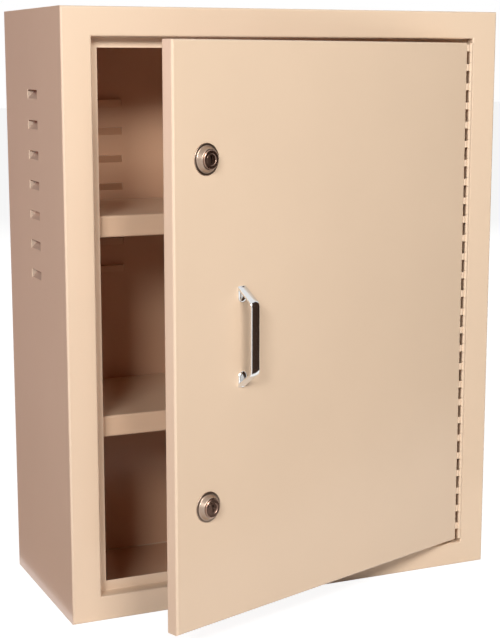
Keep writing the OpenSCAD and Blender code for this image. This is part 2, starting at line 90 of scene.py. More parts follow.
class Slot(Enum):
    """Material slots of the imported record."""

    PAINT = "body_paint"
    CHROME = "chrome_plate"
    LOCK = "lock_metal"
    ZINC = "zinc_hardware"
    PIN = "hinge_pin_steel"


# ---------------------------------------------------------------- shader maths


@dataclass(frozen=True)
class Grain:
    """Soft random variation of a finish.

    Attributes:
        scale: Features in a metre.
        detail: Octaves of finer variation.
        step: Where a soft step of it begins and ends, if it has one.
        rough: Share of the finer octaves.
    """

    scale: float
    detail: float = 2.0
    step: Point | None = None
    rough: float = 0.5


class Value:
    """A value that a finish works out; Python's operators on it add Math nodes."""

    def __init__(self, recipe: "Recipe", source: bpy.types.Node, name: int | str = 0) -> None:
        """Wraps one output of a node.

        Args:
            recipe: The finish that the node belongs to.
            source: The node.
            name: The output's name or place.
        """
        self.recipe = recipe
        self.source = source
        self.name = name

    @property
    def socket(self) -> bpy.types.NodeSocket:
        """The output socket."""
        return self.source.outputs[self.name]

    def _math(self, operation: str, *operands: "Value | float") -> "Value":
        """Adds one Math node with its inputs in order, and returns its result."""
        return self.recipe.node("ShaderNodeMath", {"operation": operation}, dict(enumerate(operands)))

    def __add__(self, other: "Value | float") -> "Value":
        """Returns the sum."""
        return self._math("ADD", self, other)

    def __radd__(self, other: float) -> "Value":
        """Returns the sum with a number on the left."""
        return self._math("ADD", other, self)

    def __sub__(self, other: "Value | float") -> "Value":
        """Returns the difference."""
        return self._math("SUBTRACT", self, other)

    def __rsub__(self, other: float) -> "Value":
        """Returns the difference from a number on the left."""
        return self._math("SUBTRACT", other, self)

    def __mul__(self, other: "Value | float") -> "Value":
        """Returns the product."""
        return self._math("MULTIPLY", self, other)

    def __rmul__(self, other: float) -> "Value":
        """Returns the product with a number on the left."""
        return self._math("MULTIPLY", other, self)

    def __abs__(self) -> "Value":
        """Returns the size without its sign."""
        return self._math("ABSOLUTE", self)

    def greater(self, other: "Value | float") -> "Value":
        """Returns the larger of two values."""
        return self._math("MAXIMUM", self, other)

    def root(self) -> "Value":
        """Returns the square root."""
        return self._math("SQRT", self)

    def sine(self) -> "Value":
        """Returns the sine."""
        return self._math("SINE", self)

    def rise(self, low: float, high: float) -> "Value":
        """Returns a soft step from 0 at low to 1 at high; low may be the larger, for a step that falls."""
        ends = {"Value": self, "From Min": low, "From Max": high, "To Min": 0.0, "To Max": 1.0}
        return self.recipe.node("ShaderNodeMapRange", {"interpolation_type": "SMOOTHSTEP"}, ends)

    def output(self, name: str) -> "Value":
        """Returns another output of the same node."""
        return Value(self.recipe, self.source, name)


class Recipe:
    """The node tree of one material, or of the studio's surround."""

    def __init__(self, holder: bpy.types.Material | bpy.types.World) -> None:
        """Starts an empty tree.

        Args:
            holder: What the tree belongs to.
        """
        holder.use_nodes = True
        self.holder = holder
        self.tree = holder.node_tree
        self.tree.nodes.clear()

    @classmethod
    def named(cls, name: str) -> "Recipe":
        """Starts the recipe of a new material with this name."""
        return cls(bpy.data.materials.new(name))

    def node(
        self,
        kind: str,
        settings: dict[str, Any] | None = None,
        inputs: dict[int | str, Any] | None = None,
        output: int | str = 0,
    ) -> Value:
        """Adds a node.

        Args:
            kind: The node's type.
            settings: Its settings, which are set first.
            inputs: Values or links of its sockets, by name or place.
            output: The output to return, by name or place.

        Returns:
            That output.
        """
        made = self.tree.nodes.new(kind)
        for name, setting in (settings or {}).items():
            setattr(made, name, setting)
        for key, value in (inputs or {}).items():
            if isinstance(value, Value):
                self.tree.links.new(value.socket, made.inputs[key])
            else:
                made.inputs[key].default_value = value
        return Value(self, made, output)

    def place(self) -> Value:
        """Returns the place on the piece, in metres, in the piece's own frame."""
        return self.node("ShaderNodeTexCoord", output="Object")

    def facing(self, turn_deg: float = 0.0) -> tuple[Value, Value, Value]:
        """Returns where the surface faces, along the piece's flat faces, which are turned by an angle."""
        return self.parts(self.turned(self.node("ShaderNodeTexCoord", output="Normal"), -turn_deg))

    def turned(self, vector: Value, turn_deg: float) -> Value:
        """Turns a vector about the upright axis.

        Args:
            vector: The vector.
            turn_deg: How far it is turned.

        Returns:
            The turned vector.
        """
        if not turn_deg:
            return vector
        turn = {"Vector": vector, "Angle": math.radians(turn_deg)}
        return self.node("ShaderNodeVectorRotate", {"rotation_type": "Z_AXIS"}, turn)

    def within(
        self, where: Value, middle: Triple, half: Triple, turn_deg: float, edge: float
    ) -> tuple[Value, Value]:
        """Tells a box's inside from its outside, and from hollows that are pressed into its two sides.

        Args:
            where: The place that is asked about.
            middle: The box's middle.
            half: Half the box's width, depth and height.
            turn_deg: How far the box is turned about the upright axis.
            edge: How wide the change between inside and outside is.

        Returns:
            1 inside the box and 0 outside it, and 1 in the hollows and 0 elsewhere.
        """
        apart = self.node("ShaderNodeVectorMath", {"operation": "SUBTRACT"}, {0: where, 1: middle})
        offsets = self.parts(self.turned(apart, -turn_deg))
        x, y, z = (abs(c).rise(h, h - edge) for c, h in zip(offsets, half))
        box = x * y * z
        begins, full = 0.1 * half[0], 0.3 * half[0]
        outward = (offsets[0] * self.facing(turn_deg)[0]).rise(begins, full)
        return box * (1.0 - outward), box * outward

    def parts(self, vector: Value) -> tuple[Value, Value, Value]:
        """Returns a vector's three components."""
        x = self.node("ShaderNodeSeparateXYZ", inputs={0: vector})
        return x, x.output("Y"), x.output("Z")

    def stretched(self, vector: Value, scales: Triple) -> Value:
        """Returns a vector with each component scaled."""
        return self.node("ShaderNodeVectorMath", {"operation": "MULTIPLY"}, {0: vector, 1: scales})

    def noise(self, where: Value, grain: Grain) -> Value:
        """Adds soft random variation.

        Args:
            where: The place that it is worked out at.
            grain: What it is like.

        Returns:
            The variation, about 0.5, or from 0 to 1 where the grain has a step.
        """
        sockets = {"Vector": where, "Scale": grain.scale, "Detail": grain.detail, "Roughness": grain.rough}
        made = self.node("ShaderNodeTexNoise", inputs=sockets)
        return made.rise(*grain.step) if grain.step else made

    def cells(self, where: Value, scale: float) -> Value:
        """Returns a random colour for each of many small cells, with scale cells in a metre."""
        return self.node("ShaderNodeTexVoronoi", inputs={"Vector": where, "Scale": scale}, output="Color")

    def blend(self, factor: Value | float, first: Value | Colour, second: Value | Colour) -> Value:
        """Mixes two colours.

        Args:
            factor: 0 gives the first and 1 the second.
            first: A colour.
            second: Another colour.

        Returns:
            The mixed colour.
        """
        ends = [c if isinstance(c, Value) else (*c, 1.0) for c in (first, second)]
        sockets = {0: factor, 6: ends[0], 7: ends[1]}
        return self.node("ShaderNodeMix", {"data_type": "RGBA"}, sockets, 2)

    def relief(self, height: Value, depth: float, under: Value | None = None) -> Value:
        """Adds surface relief.

        Args:
            height: Its height, from 0 to 1.
            depth: What a height of 1 means, in metres.
            under: The relief that it lies on, if any.

        Returns:
            The bumped normal.
        """
        sockets: dict[int | str, Any] = {"Strength": 1.0, "Distance": depth, "Height": height}
        if under is not None:
            sockets["Normal"] = under
        return self.node("ShaderNodeBump", inputs=sockets)

    def finish(self, sockets: dict[str, Any]) -> bpy.types.Material:
        """Adds the surface shader and the output.

        Args:
            sockets: Values or links of the shader's sockets.

        Returns:
            The finished material.
        """
        shader = self.node("ShaderNodeBsdfPrincipled", inputs=sockets)
        self.node("ShaderNodeOutputMaterial", inputs={"Surface": shader})
        return self.holder


# ------------------------------------------------------------------- finishes


def scaled(colour: Colour, share: float) -> Colour:
    """Returns a colour made lighter or darker."""
    return tuple(min(1.0, c * share) for c in colour)


@dataclass(frozen=True)
class Enamel:
    """Baked beige enamel on folded steel sheet.

    Attributes:
        name: The material's name.
        turn_deg: How far the sheet's faces are turned about the upright axis at rest.
        colour: The enamel's colour.
        inner: A darker, redder colour for the inside; painted shade that stands in for the shadow within the
            casing and door.
        bend_wear_and_highlight: The lighter colour over bends, partly enamel that is thin there and partly a
            painted highlight along the bends.
        bare: The primer that shows in the few chips.
        hollow_shade: Painted shade, a darker colour in the louvres' outer hollows.
        gloss: Its roughness where it is clean.
        inside_at: The middle of the box that gets the painted inside shade.
        inside_half: Half that box's width, depth and height.
        inside_edge: How wide the change to that painted shade is.
        shade: How much the coat's tone wanders, up and down.
        cloud: Broad patches of tone.
        flecks: Fine specks in the coat.
        smears: Where hands and cloths have dulled it.
        chipping: Where chips break the bends.
        wave: The sheet's faint unevenness.
        peel: The sprayed coat's orange peel.
        wave_depth: Depth of the unevenness, in metres.
        peel_depth: Depth of the orange peel.
        chip_depth: Depth of the chips.
        fleck_tone: Tone of the flecks beside the coat's.
        fleck_show: How strongly the flecks show.
        bend_wear_and_highlight_show: How strongly that thin enamel and painted highlight show over bends.
        hollow_shade_show: How strongly that painted shade shows.
        bare_show: How strongly the primer shows.
        dulling: How far handling spreads its roughness, from the smoothest to the roughest.
        chip_rough: How much rougher a chip is.
        bend_rough: How much rougher a bend is.
        shine: Its specular level.
        glaze: Weight and roughness of the glaze on top of the coat.
        flatness: How squarely a face lies where a bend begins, and where it is full.
    """

    name: str
    turn_deg: float = 0.0
    colour: Colour = (0.800, 0.605, 0.445)
    # Painted shade: the inside's darker, redder colour.
    inner: Colour = (0.700, 0.430, 0.280)
    # Lighter over every bend: thin enamel and a painted highlight.
    bend_wear_and_highlight: Colour = (0.83, 0.65, 0.50)
    bare: Colour = (0.30, 0.21, 0.16)
    # Painted shade in the louvres' hollows.
    hollow_shade: Colour = (0.36, 0.25, 0.19)
    gloss: float = 0.30
    inside_at: Triple = (0.0, 0.0102, 0.381)
    inside_half: Triple = (0.3009, 0.1150, 0.3804)
    inside_edge: float = 0.0003
    shade: float = 0.025
    cloud: Grain = Grain(4.5, 3.0, (0.1, 0.9))
    flecks: Grain = Grain(850.0, 2.0, (0.25, 0.75))
    smears: Grain = Grain(14.0)
    chipping: Grain = Grain(140.0, 6.0, (0.69, 0.73), 0.7)
    wave: Grain = Grain(9.0, 1.0)
    peel: Grain = Grain(330.0, 1.0)
    wave_depth: float = 0.0009
    peel_depth: float = 0.00006
    chip_depth: float = 0.00012
    fleck_tone: float = 0.965
    fleck_show: float = 0.2
    bend_wear_and_highlight_show: float = 0.3
    hollow_shade_show: float = 0.5
    bare_show: float = 0.6
    dulling: float = 0.06
    chip_rough: float = 0.3
    bend_rough: float = 0.05
    shine: float = 0.4
    glaze: Point = (0.1, 0.16)
    flatness: Point = (0.995, 0.93)

    def material(self) -> bpy.types.Material:
        """Makes the material.

        Returns:
            The finished material.
        """
        mix = Recipe.named(self.name)
        where = mix.place()
        bend = self._bend(mix)
        chips = bend * mix.noise(where, self.chipping)
        inside, hollow = mix.within(where, self.inside_at, self.inside_half, self.turn_deg, self.inside_edge)
        dark, light = (scaled(self.colour, 1.0 + side * self.shade) for side in (-1, 1))
        paint = mix.blend(mix.noise(where, self.cloud), dark, light)
        # Painted shade: the inside of the casing and door takes the darker, redder inner colour.
        paint = mix.blend(inside, paint, self.inner)
        fleck = mix.blend(inside, *(scaled(c, self.fleck_tone) for c in (self.colour, self.inner)))
        paint = mix.blend(mix.noise(where, self.flecks) * self.fleck_show, paint, fleck)
        # Every bend outside the inside box turns lighter: thin enamel and a painted highlight along the
        # edges.
        paint = mix.blend(bend * (1.0 - inside) * self.bend_wear_and_highlight_show, paint, self.bend_wear_and_highlight)
        # Painted shade: the louvres' outer hollows are darkened.
        paint = mix.blend(hollow * self.hollow_shade_show, paint, self.hollow_shade)
        paint = mix.blend(chips * self.bare_show, paint, self.bare)
        dulled = (mix.noise(where, self.smears) - 0.5) * self.dulling
        relief = mix.relief(mix.noise(where, self.wave), self.wave_depth)
        relief = mix.relief(mix.noise(where, self.peel), self.peel_depth, relief)
        relief = mix.relief(1.0 - chips, self.chip_depth, relief)
        return mix.finish(
            {
                "Base Color": paint,
                "Roughness": self.gloss + dulled + chips * self.chip_rough + bend * self.bend_rough,
                "Normal": relief,
                "Specular IOR Level": self.shine,
                "Coat Weight": self.glaze[0],
                "Coat Roughness": self.glaze[1],
            }
        )

    def _bend(self, mix: Recipe) -> Value:
        """Returns 1 on bends and cut edges, where the surface faces between the sheet's flat faces."""
        across, out, up = mix.facing(self.turn_deg)
        return abs(across).greater(abs(out)).greater(abs(up)).rise(*self.flatness)


@dataclass(frozen=True)
class Plating:
    """Bright plated metal.

    Attributes:
        name: The material's name.
        colour: The metal's colour.
        roughness: Its least roughness.
        smear: How much rougher handling makes it.
        turned: Depth of the fine rings that a lathe leaves, in metres, or 0 for polished.
        ring_pitch: Distance between those rings, in metres.
        smears: Where hands have dulled it.
        pits: Its fine pits.
        tone: Patches of tone.
        ripple: The plating's faint ripple.
        ripple_depth: Depth of the ripple, in metres.
        low_tone: The darkest of the patches' tone.
        pit_tone: Tone of the pits.
        pit_show: How strongly the pits show.
        pit_rough: How much rougher a pit is.
    """

    name: str
    colour: Colour = (0.78, 0.785, 0.79)
    roughness: float = 0.05
    smear: float = 0.12
    turned: float = 0.0
    ring_pitch: float = 0.00022
    smears: Grain = Grain(90.0, 4.0, (0.4, 0.75), 0.6)
    pits: Grain = Grain(2600.0, 2.0, (0.70, 0.8))
    tone: Grain = Grain(40.0)
    ripple: Grain = Grain(500.0)
    ripple_depth: float = 0.000012
    low_tone: float = 0.94
    pit_tone: float = 0.55
    pit_show: float = 0.5
    pit_rough: float = 0.2

    def material(self) -> bpy.types.Material:
        """Makes the material.

        Returns:
            The finished material.
        """
        mix = Recipe.named(self.name)
        where = mix.place()
        pits = mix.noise(where, self.pits)
        tone = mix.blend(mix.noise(where, self.tone), scaled(self.colour, self.low_tone), self.colour)
        tone = mix.blend(pits * self.pit_show, tone, scaled(self.colour, self.pit_tone))
        relief = mix.relief(mix.noise(where, self.ripple), self.ripple_depth)
        if self.turned:
            x, y, _ = mix.parts(where)
            radius = (x * x + y * y).root()
            rings = (radius * (math.tau / self.ring_pitch)).sine()
            relief = mix.relief(rings * 0.5 + 0.5, self.turned, relief)
        dulled = mix.noise(where, self.smears) * self.smear
        return mix.finish(
            {
                "Base Color": tone,
                "Metallic": 1.0,
                "Roughness": self.roughness + dulled + pits * self.pit_rough,
                "Normal": relief,
            }
        )


@dataclass(frozen=True)
class Zinc:
    """Zinc-plated hardware, with the faint spangle and tint of its plating.

    Attributes:
        name: The material's name.
        colour: The plating's colour.
        tint: The passivated tint in patches.
        roughness: Its roughness.
        spangle_scale: Crystals of the plating in a metre.
        patches: Where the tint lies.
        grain: The plating's fine grain.
        grain_depth: Depth of the grain, in metres.
        tint_show: How strongly the tint shows.
        crystal_tone: Tone of the brightest crystals.
        crystal_show: How strongly the crystals show.
        crystal_rough: How far the crystals spread its roughness.
        tint_rough: How much rougher the tinted patches are.
    """

    name: str
    colour: Colour = (0.56, 0.57, 0.58)
    tint: Colour = (0.60, 0.565, 0.46)
    roughness: float = 0.34
    spangle_scale: float = 1400.0
    patches: Grain = Grain(160.0, 3.0, (0.42, 0.7))
    grain: Grain = Grain(3000.0)
    grain_depth: float = 0.00002
    tint_show: float = 0.7
    crystal_tone: float = 1.25
    crystal_show: float = 0.25
    crystal_rough: float = 0.12
    tint_rough: float = 0.08

    def material(self) -> bpy.types.Material:
        """Makes the material.

        Returns:
            The finished material.
        """
        mix = Recipe.named(self.name)
        where = mix.place()
        spangle, _, _ = mix.parts(mix.cells(where, self.spangle_scale))
        patches = mix.noise(where, self.patches)
        tone = mix.blend(patches * self.tint_show, self.colour, self.tint)
        tone = mix.blend(spangle * self.crystal_show, tone, scaled(self.colour, self.crystal_tone))
        uneven = (spangle - 0.5) * self.crystal_rough
        return mix.finish(
            {
                "Base Color": tone,
                "Metallic": 1.0,
                "Roughness": self.roughness + uneven + patches * self.tint_rough,
                "Normal": mix.relief(mix.noise(where, self.grain), self.grain_depth),
            }
        )


@dataclass(frozen=True)
class DrawnSteel:
    """Bright drawn wire, with fine marks along its length.

    Attributes:
        name: The material's name.
        colour: The steel's colour.
        rusty: The colour of its rust.
        roughness: Its roughness.
        stretch: How fine the marks are across the wire and along it.
        marks: The drawing marks, once they are stretched.
        rust: Where it has rusted.
        mark_depth: Depth of the marks, in metres.
        mark_tones: Tone of the marks, from the darkest to the lightest.
        rust_show: How strongly the rust shows.
        rust_dull: How far rust takes the metal's shine away.
        mark_rough: How much rougher the marks are.
        rust_rough: How much rougher rust is.
    """

    name: str
    colour: Colour = (0.50, 0.49, 0.475)
    rusty: Colour = (0.20, 0.11, 0.06)
    roughness: float = 0.30
    stretch: Triple = (5000.0, 5000.0, 60.0)
    marks: Grain = Grain(1.0, 3.0)
    rust: Grain = Grain(120.0, 5.0, (0.66, 0.8), 0.65)
    mark_depth: float = 0.00001
    mark_tones: Point = (0.85, 1.1)
    rust_show: float = 0.4
    rust_dull: float = 0.5
    mark_rough: float = 0.1
    rust_rough: float = 0.25

    def material(self) -> bpy.types.Material:
        """Makes the material.

        Returns:
            The finished material.
        """
        mix = Recipe.named(self.name)
        where = mix.place()
        marks = mix.noise(mix.stretched(where, self.stretch), self.marks)
        rust = mix.noise(where, self.rust)
        tone = mix.blend(marks, *(scaled(self.colour, share) for share in self.mark_tones))
        return mix.finish(
            {
                "Base Color": mix.blend(rust * self.rust_show, tone, self.rusty),
                "Metallic": 1.0 - rust * self.rust_dull,
                "Roughness": self.roughness + marks * self.mark_rough + rust * self.rust_rough,
                "Normal": mix.relief(marks, self.mark_depth),
            }
        )


@dataclass
class Finishes:
    """Every finish of the cabinet, made once."""

    casing_paint: bpy.types.Material = field(init=False)
    shelf_paint: bpy.types.Material = field(init=False)
    door_paint: bpy.types.Material = field(init=False)
    chrome: bpy.types.Material = field(init=False)
    collar: bpy.types.Material = field(init=False)
    lock_face: bpy.types.Material = field(init=False)
    zinc: bpy.types.Material = field(init=False)
    pin_steel: bpy.types.Material = field(init=False)

    def __post_init__(self) -> None:
        """Makes the materials."""
        self.casing_paint = Enamel("casing_enamel").material()
        # The shelves' inner colour is painted shade too, a little lighter than the casing's.
        self.shelf_paint = Enamel("shelf_enamel", inner=(0.800, 0.560, 0.385)).material()
        self.door_paint = self._door_enamel().material()
        self.chrome = Plating("chrome_plate", roughness=0.10).material()
        # Painted reflection: the collar's chrome and the lock face are darkened and browned to show the
        # warm, dim surroundings that they mirror.
        self.collar = Plating("collar_painted_reflection", (0.40, 0.30, 0.235), 0.30).material()
        face = Plating("lock_face_painted_reflection", (0.34, 0.22, 0.17), 0.26, turned=0.000006)
        self.lock_face = face.material()
        self.zinc = Zinc("zinc_plate").material()
        self.pin_steel = DrawnSteel("pin_steel").material()

    def _door_enamel(self) -> Enamel:
        """Chooses the door's enamel, whose painted inside shade begins under its face's skin and inside its
        edges.

        Returns:
            The enamel.
        """
        half_skin, hinge_edge, half_width, deep_enough = 0.0006, 0.00685, 0.2567, 0.02
        low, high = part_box("door_pan")
        half = Vector((half_width, deep_enough, (high.z - low.z) / 2 - half_skin))
        at = Vector((-hinge_edge - half_skin - half.x, half_skin + half.y, (high.z + low.z) / 2))
        middle = Hanging.door() @ at
        return Enamel("door_enamel", Hanging.open_deg(), inside_at=tuple(middle), inside_half=tuple(half))


# ---------------------------------------------------------------- places


class Hanging:
    """Where the door and its locks are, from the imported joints."""

    @staticmethod
    def joint(name: str) -> dict[str, Any]:
        """Returns a packed joint by its name."""
        return next(j for j in frame["joints"] if j["name"] == name)

    @classmethod
    def open_deg(cls) -> float:
        """Returns how far the door stands open, from the way a lock points."""
        axis = cls.joint("upper_lock_turn")["axis"]
        return math.degrees(math.atan2(-axis[0], axis[1]))

    @classmethod
    def door(cls) -> Matrix:
        """Finds the door's frame.

        Returns:
            Its place, at the pin: x runs away from the door's free edge, y into the door, z up.
        """
        pin = Vector(cls.joint("door_swing")["pos_m"])
        turn = Matrix.Rotation(math.radians(cls.open_deg()), 4, "Z")
        return Matrix.Translation((pin.x, pin.y, 0.0)) @ turn

    @classmethod
    def lock(cls, joint_name: str) -> Matrix:
        """Finds a lock's frame.

        Args:
            joint_name: The joint that turns its core.

        Returns:
            Its place: z runs into the casing along its axis, y runs down.
        """
        at = Vector(cls.joint(joint_name)["pos_m"])
        turn = Matrix.Rotation(math.radians(cls.open_deg()), 4, "Z")
        return Matrix.Translation(at) @ turn @ Matrix.Rotation(-math.pi / 2, 4, "X")


# ---------------------------------------------------------------- outlines


def arc(centre: Point, radius: float, start_deg: float, end_deg: float, steps: int) -> list[Point]:
    """Returns the points along an arc that is cut into so many steps, both ends among them."""
    angles = [math.radians(start_deg + (end_deg - start_deg) * i / steps) for i in range(steps + 1)]
    return [(centre[0] + radius * math.cos(a), centre[1] + radius * math.sin(a)) for a in angles]


def softened(
    points: Sequence[Point], radii: Sequence[float], steps: int = 5, closed: bool = False
) -> list[Point]:
    """Rounds the corners of a line of points.

    Args:
        points: The corners.
        radii: A radius for each corner, or 0 to leave it sharp.
        steps: How many pieces each rounding is cut into.
        closed: Whether the line comes back to its start.

    Returns:
        The softened line.
    """
    made: list[Point] = []
    count = len(points)
    for i, corner in enumerate(points):
        here = Vector(corner)
        if radii[i] <= 0 or (not closed and i in (0, count - 1)):
            made.append(tuple(here))
            continue
        back = (Vector(points[i - 1]) - here).normalized()
        ahead = (Vector(points[(i + 1) % count]) - here).normalized()
        half = back.angle(ahead) / 2
        reach = radii[i] / math.tan(half)
        centre = here + (back + ahead).normalized() * radii[i] / math.sin(half)
        first = here + back * reach - centre
        last = here + ahead * reach - centre
        sweep = first.angle_signed(last)
        for k in range(steps + 1):
            turned = Matrix.Rotation(-sweep * k / steps, 2) @ first
            made.append(tuple(centre + turned))
    return made


def box_outline(across: float, along: float) -> list[Point]:
    """Returns a box's corners, anticlockwise, from half its width and half its height."""
    return [(-across, -along), (across, -along), (across, along), (-across, along)]


def inset(outline: Sequence[Point], depth: float) -> list[Point]:
    """Moves each corner of a closed outline in, which runs anticlockwise.

    Args:
        outline: The outline.
        depth: How far in it moves.

    Returns:
        The smaller outline, with as many points.
    """
    made = []
    count = len(outline)
    for i in range(count):
        before = (Vector(outline[i]) - Vector(outline[i - 1])).normalized()
        after = (Vector(outline[(i + 1) % count]) - Vector(outline[i])).normalized()
        inward = Vector((-before.y, before.x)) + Vector((-after.y, after.x))
        scale = max(0.4, inward.length / 2)
        made.append(tuple(Vector(outline[i]) + inward.normalized() * depth / scale))
    return made


# ---------------------------------------------------------------- mesh making


class Blank:
    """A mesh in the making, in millimetres, in its own frame."""

    def __init__(self) -> None:
        """Starts an empty mesh."""
        self.bm = bmesh.new()

    def ring(self, points: Iterable[Triple]) -> Ring:
        """Adds vertices and returns them."""
        return [self.bm.verts.new(p) for p in points]

    def circle(self, radius: float, z: float, steps: int) -> Ring:
        """Adds vertices in a circle round the z axis.

        Args:
            radius: The circle's radius; one vertex does where it is 0.
            z: Its height.
            steps: How many vertices it has.

        Returns:
            The vertices.
        """
        if radius < 1e-6:
            return self.ring([(0.0, 0.0, z)])
        turn = [math.tau * k / steps for k in range(steps)]
        return self.ring((radius * math.cos(a), radius * math.sin(a), z) for a in turn)

    def bridge(self, pairs: Iterable[tuple[Ring, Ring]]) -> "Blank":
        """Joins pairs of rings with faces.

        Args:
            pairs: Rings of as many vertices, or with one vertex in one of the two.

        Returns:
            This mesh.
        """
        for first, second in pairs:
            if len(first) == 1 or len(second) == 1:
                pole, around = (first[0], second) if len(first) == 1 else (second[0], first)
                for k in range(len(around)):
                    self.bm.faces.new((pole, around[k], around[(k + 1) % len(around)]))
                continue
            for i in range(len(first)):
                k = (i + 1) % len(first)
                self.bm.faces.new((first[i], first[k], second[k], second[i]))
        return self

    def stacked(self, rings: Sequence[Ring]) -> "Blank":
        """Joins rings one after another and closes both ends.

        Args:
            rings: Rings of as many vertices.

        Returns:
            This mesh.
        """
        self.bridge(zip(rings, rings[1:]))
        self.bm.faces.new(list(reversed(rings[0])))
        self.bm.faces.new(rings[-1])
        return self

    def layered(self, outline: Sequence[Point], layers: Sequence[Point]) -> "Blank":
        """Stacks an anticlockwise outline in layers, each so far in from it and so high."""
        return self.stacked([self.ring((x, y, z) for x, y in inset(outline, depth)) for depth, z in layers])

    def lathe(self, profile: Sequence[Point], steps: int = 72) -> "Blank":
        """Turns a profile round the z axis.

        Args:
            profile: Points (radius, z); a radius of 0 closes an end, and else the profile closes on itself.
            steps: Faces round the axis.

        Returns:
            This mesh.
        """
        rings = [self.circle(radius, z, steps) for radius, z in profile]
        pairs = list(zip(rings, rings[1:]))
        if len(rings[0]) > 1 and len(rings[-1]) > 1:
            pairs.append((rings[-1], rings[0]))
        return self.bridge(pairs)

    def slab(self, outline: Sequence[Point], low: float, high: float, edge: Point = (0.0, 0.0)) -> "Blank":
        """Raises an outline along z, with rounded edges.

        Args:
            outline: The outline, anticlockwise.
            low: The lower z.
            high: The upper z.
            edge: The radii of the lower and upper edges.

        Returns:
            This mesh.
        """
        layers: list[tuple[float, float]] = []
        for z, radius, up in ((low, edge[0], 1), (high, edge[1], -1)):
            if radius <= 0:
                layers.append((0.0, z))
                continue
            angles = [math.pi / 2 * k / 4 for k in range(5)]
            rounding = [(radius * (1 - math.sin(a)), z + up * radius * (1 - math.cos(a))) for a in angles]
            layers += rounding if up > 0 else rounding[::-1]
        return self.layered(outline, layers)

    def domed(self, outline: Sequence[Point], wall: float, height: float, reach: float) -> "Blank":
        """Raises an outline from z = 0 into a low dome.

        Args:
            outline: The outline, anticlockwise.
            wall: Height of its upright edge.
            height: Height of the dome's crown.
            reach: How far in from the edge the crown begins.

        Returns:
            This mesh.
        """
        angles = [math.pi / 2 * k / 10 for k in range(11)]
        layers = [(0.0, 0.0)]
        layers += [(reach * (1 - math.cos(a)), wall + (height - wall) * math.sin(a)) for a in angles]
        return self.layered(outline, layers)

    def sweep(self, section: Sequence[Point], frames: Sequence[tuple[Vector, Vector, Vector]]) -> "Blank":
        """Carries a closed section along a line.

        Args:
            section: Points (across, out).
            frames: For each place on the line, the place and the directions across and out.

        Returns:
            This mesh.
        """
        return self.stacked(
            [self.ring(tuple(at + a * across + b * out) for a, b in section) for at, across, out in frames]
        )

    def threaded(
        self, crest: float, depth: float, pitch: float, low: float, high: float, flat: float
    ) -> "Blank":
        """Adds a threaded rod with two flats and closed ends.

        Args:
            crest: Radius over the thread.
            depth: Depth of the thread.
            pitch: Distance between turns.
            low: The lower z.
            high: The upper z.
            flat: Half the distance across the flats, which face y.

        Returns:
            This mesh.
        """
        steps, rows_per_turn = 72, 6
        rows = max(2, round((high - low) / pitch * rows_per_turn))
        rings = []
        for row in range(rows + 1):
            z = low + (high - low) * row / rows
            fade = min(1.0, (high - z) / pitch, (z - low) / pitch)
            ring = []
            for k in range(steps):
                turn = (z / pitch - k / steps) % 1.0
                groove = min(1.0, max(0.0, abs(turn - 0.5) * 2.4 - 0.2)) * fade + (1 - fade)
                radius = crest - depth * groove
                angle = math.tau * k / steps
                y = max(-flat, min(flat, radius * math.sin(angle)))
                ring.append((radius * math.cos(angle), y, z))
            rings.append(self.ring(ring))
        return self.stacked(rings)

    def bored(self, tool: "Blank") -> "Blank":
        """Cuts another mesh out of this one."""
        return self._boolean(tool, "DIFFERENCE")

    def joined(self, tool: "Blank") -> "Blank":
        """Fuses another mesh with this one."""
        return self._boolean(tool, "UNION")

    def _boolean(self, tool: "Blank", operation: str) -> "Blank":
        """Combines this mesh with another.

        Args:
            tool: The other mesh, which is used up.
            operation: UNION or DIFFERENCE.

        Returns:
            This mesh.
        """
        base, cutter = self._scratch(), tool._scratch()
        modifier = base.modifiers.new("cut", "BOOLEAN")
        modifier.operation = operation
        modifier.solver = "EXACT"
        modifier.object = cutter
        bpy.context.view_layer.update()
        result = base.evaluated_get(bpy.context.evaluated_depsgraph_get()).to_mesh()
        self.bm = bmesh.new()
        self.bm.from_mesh(result)
        for used in (base, cutter):
            mesh = used.data
            bpy.data.objects.remove(used)
            bpy.data.meshes.remove(mesh)
        return self

    def _scratch(self) -> bpy.types.Object:
        """Puts the mesh into a passing object, for a modifier to work on.

        Returns:
            The passing object.
        """
        bmesh.ops.recalc_face_normals(self.bm, faces=self.bm.faces)
        mesh = bpy.data.meshes.new("scratch")
        self.bm.to_mesh(mesh)
        self.bm.free()
        made = bpy.data.objects.new("scratch", mesh)
        bpy.context.scene.collection.objects.link(made)
        return made

    def cut_below(self, height: float) -> "Blank":
        """Cuts off what lies under a level and closes the cut.

        Args:
            height: The level.

        Returns:
            This mesh.
        """
        geometry = self.bm.verts[:] + self.bm.edges[:] + self.bm.faces[:]
        cut = bmesh.ops.bisect_plane(
            self.bm, geom=geometry, plane_co=(0, 0, height), plane_no=(0, 0, 1), clear_inner=True
        )
        rim = [e for e in cut["geom_cut"] if isinstance(e, bmesh.types.BMEdge)]
        bmesh.ops.holes_fill(self.bm, edges=rim)
        return self

    def moved(self, matrix: Matrix) -> "Blank":
        """Moves the mesh within its own frame."""
        bmesh.ops.transform(self.bm, matrix=matrix, verts=self.bm.verts)
        return self

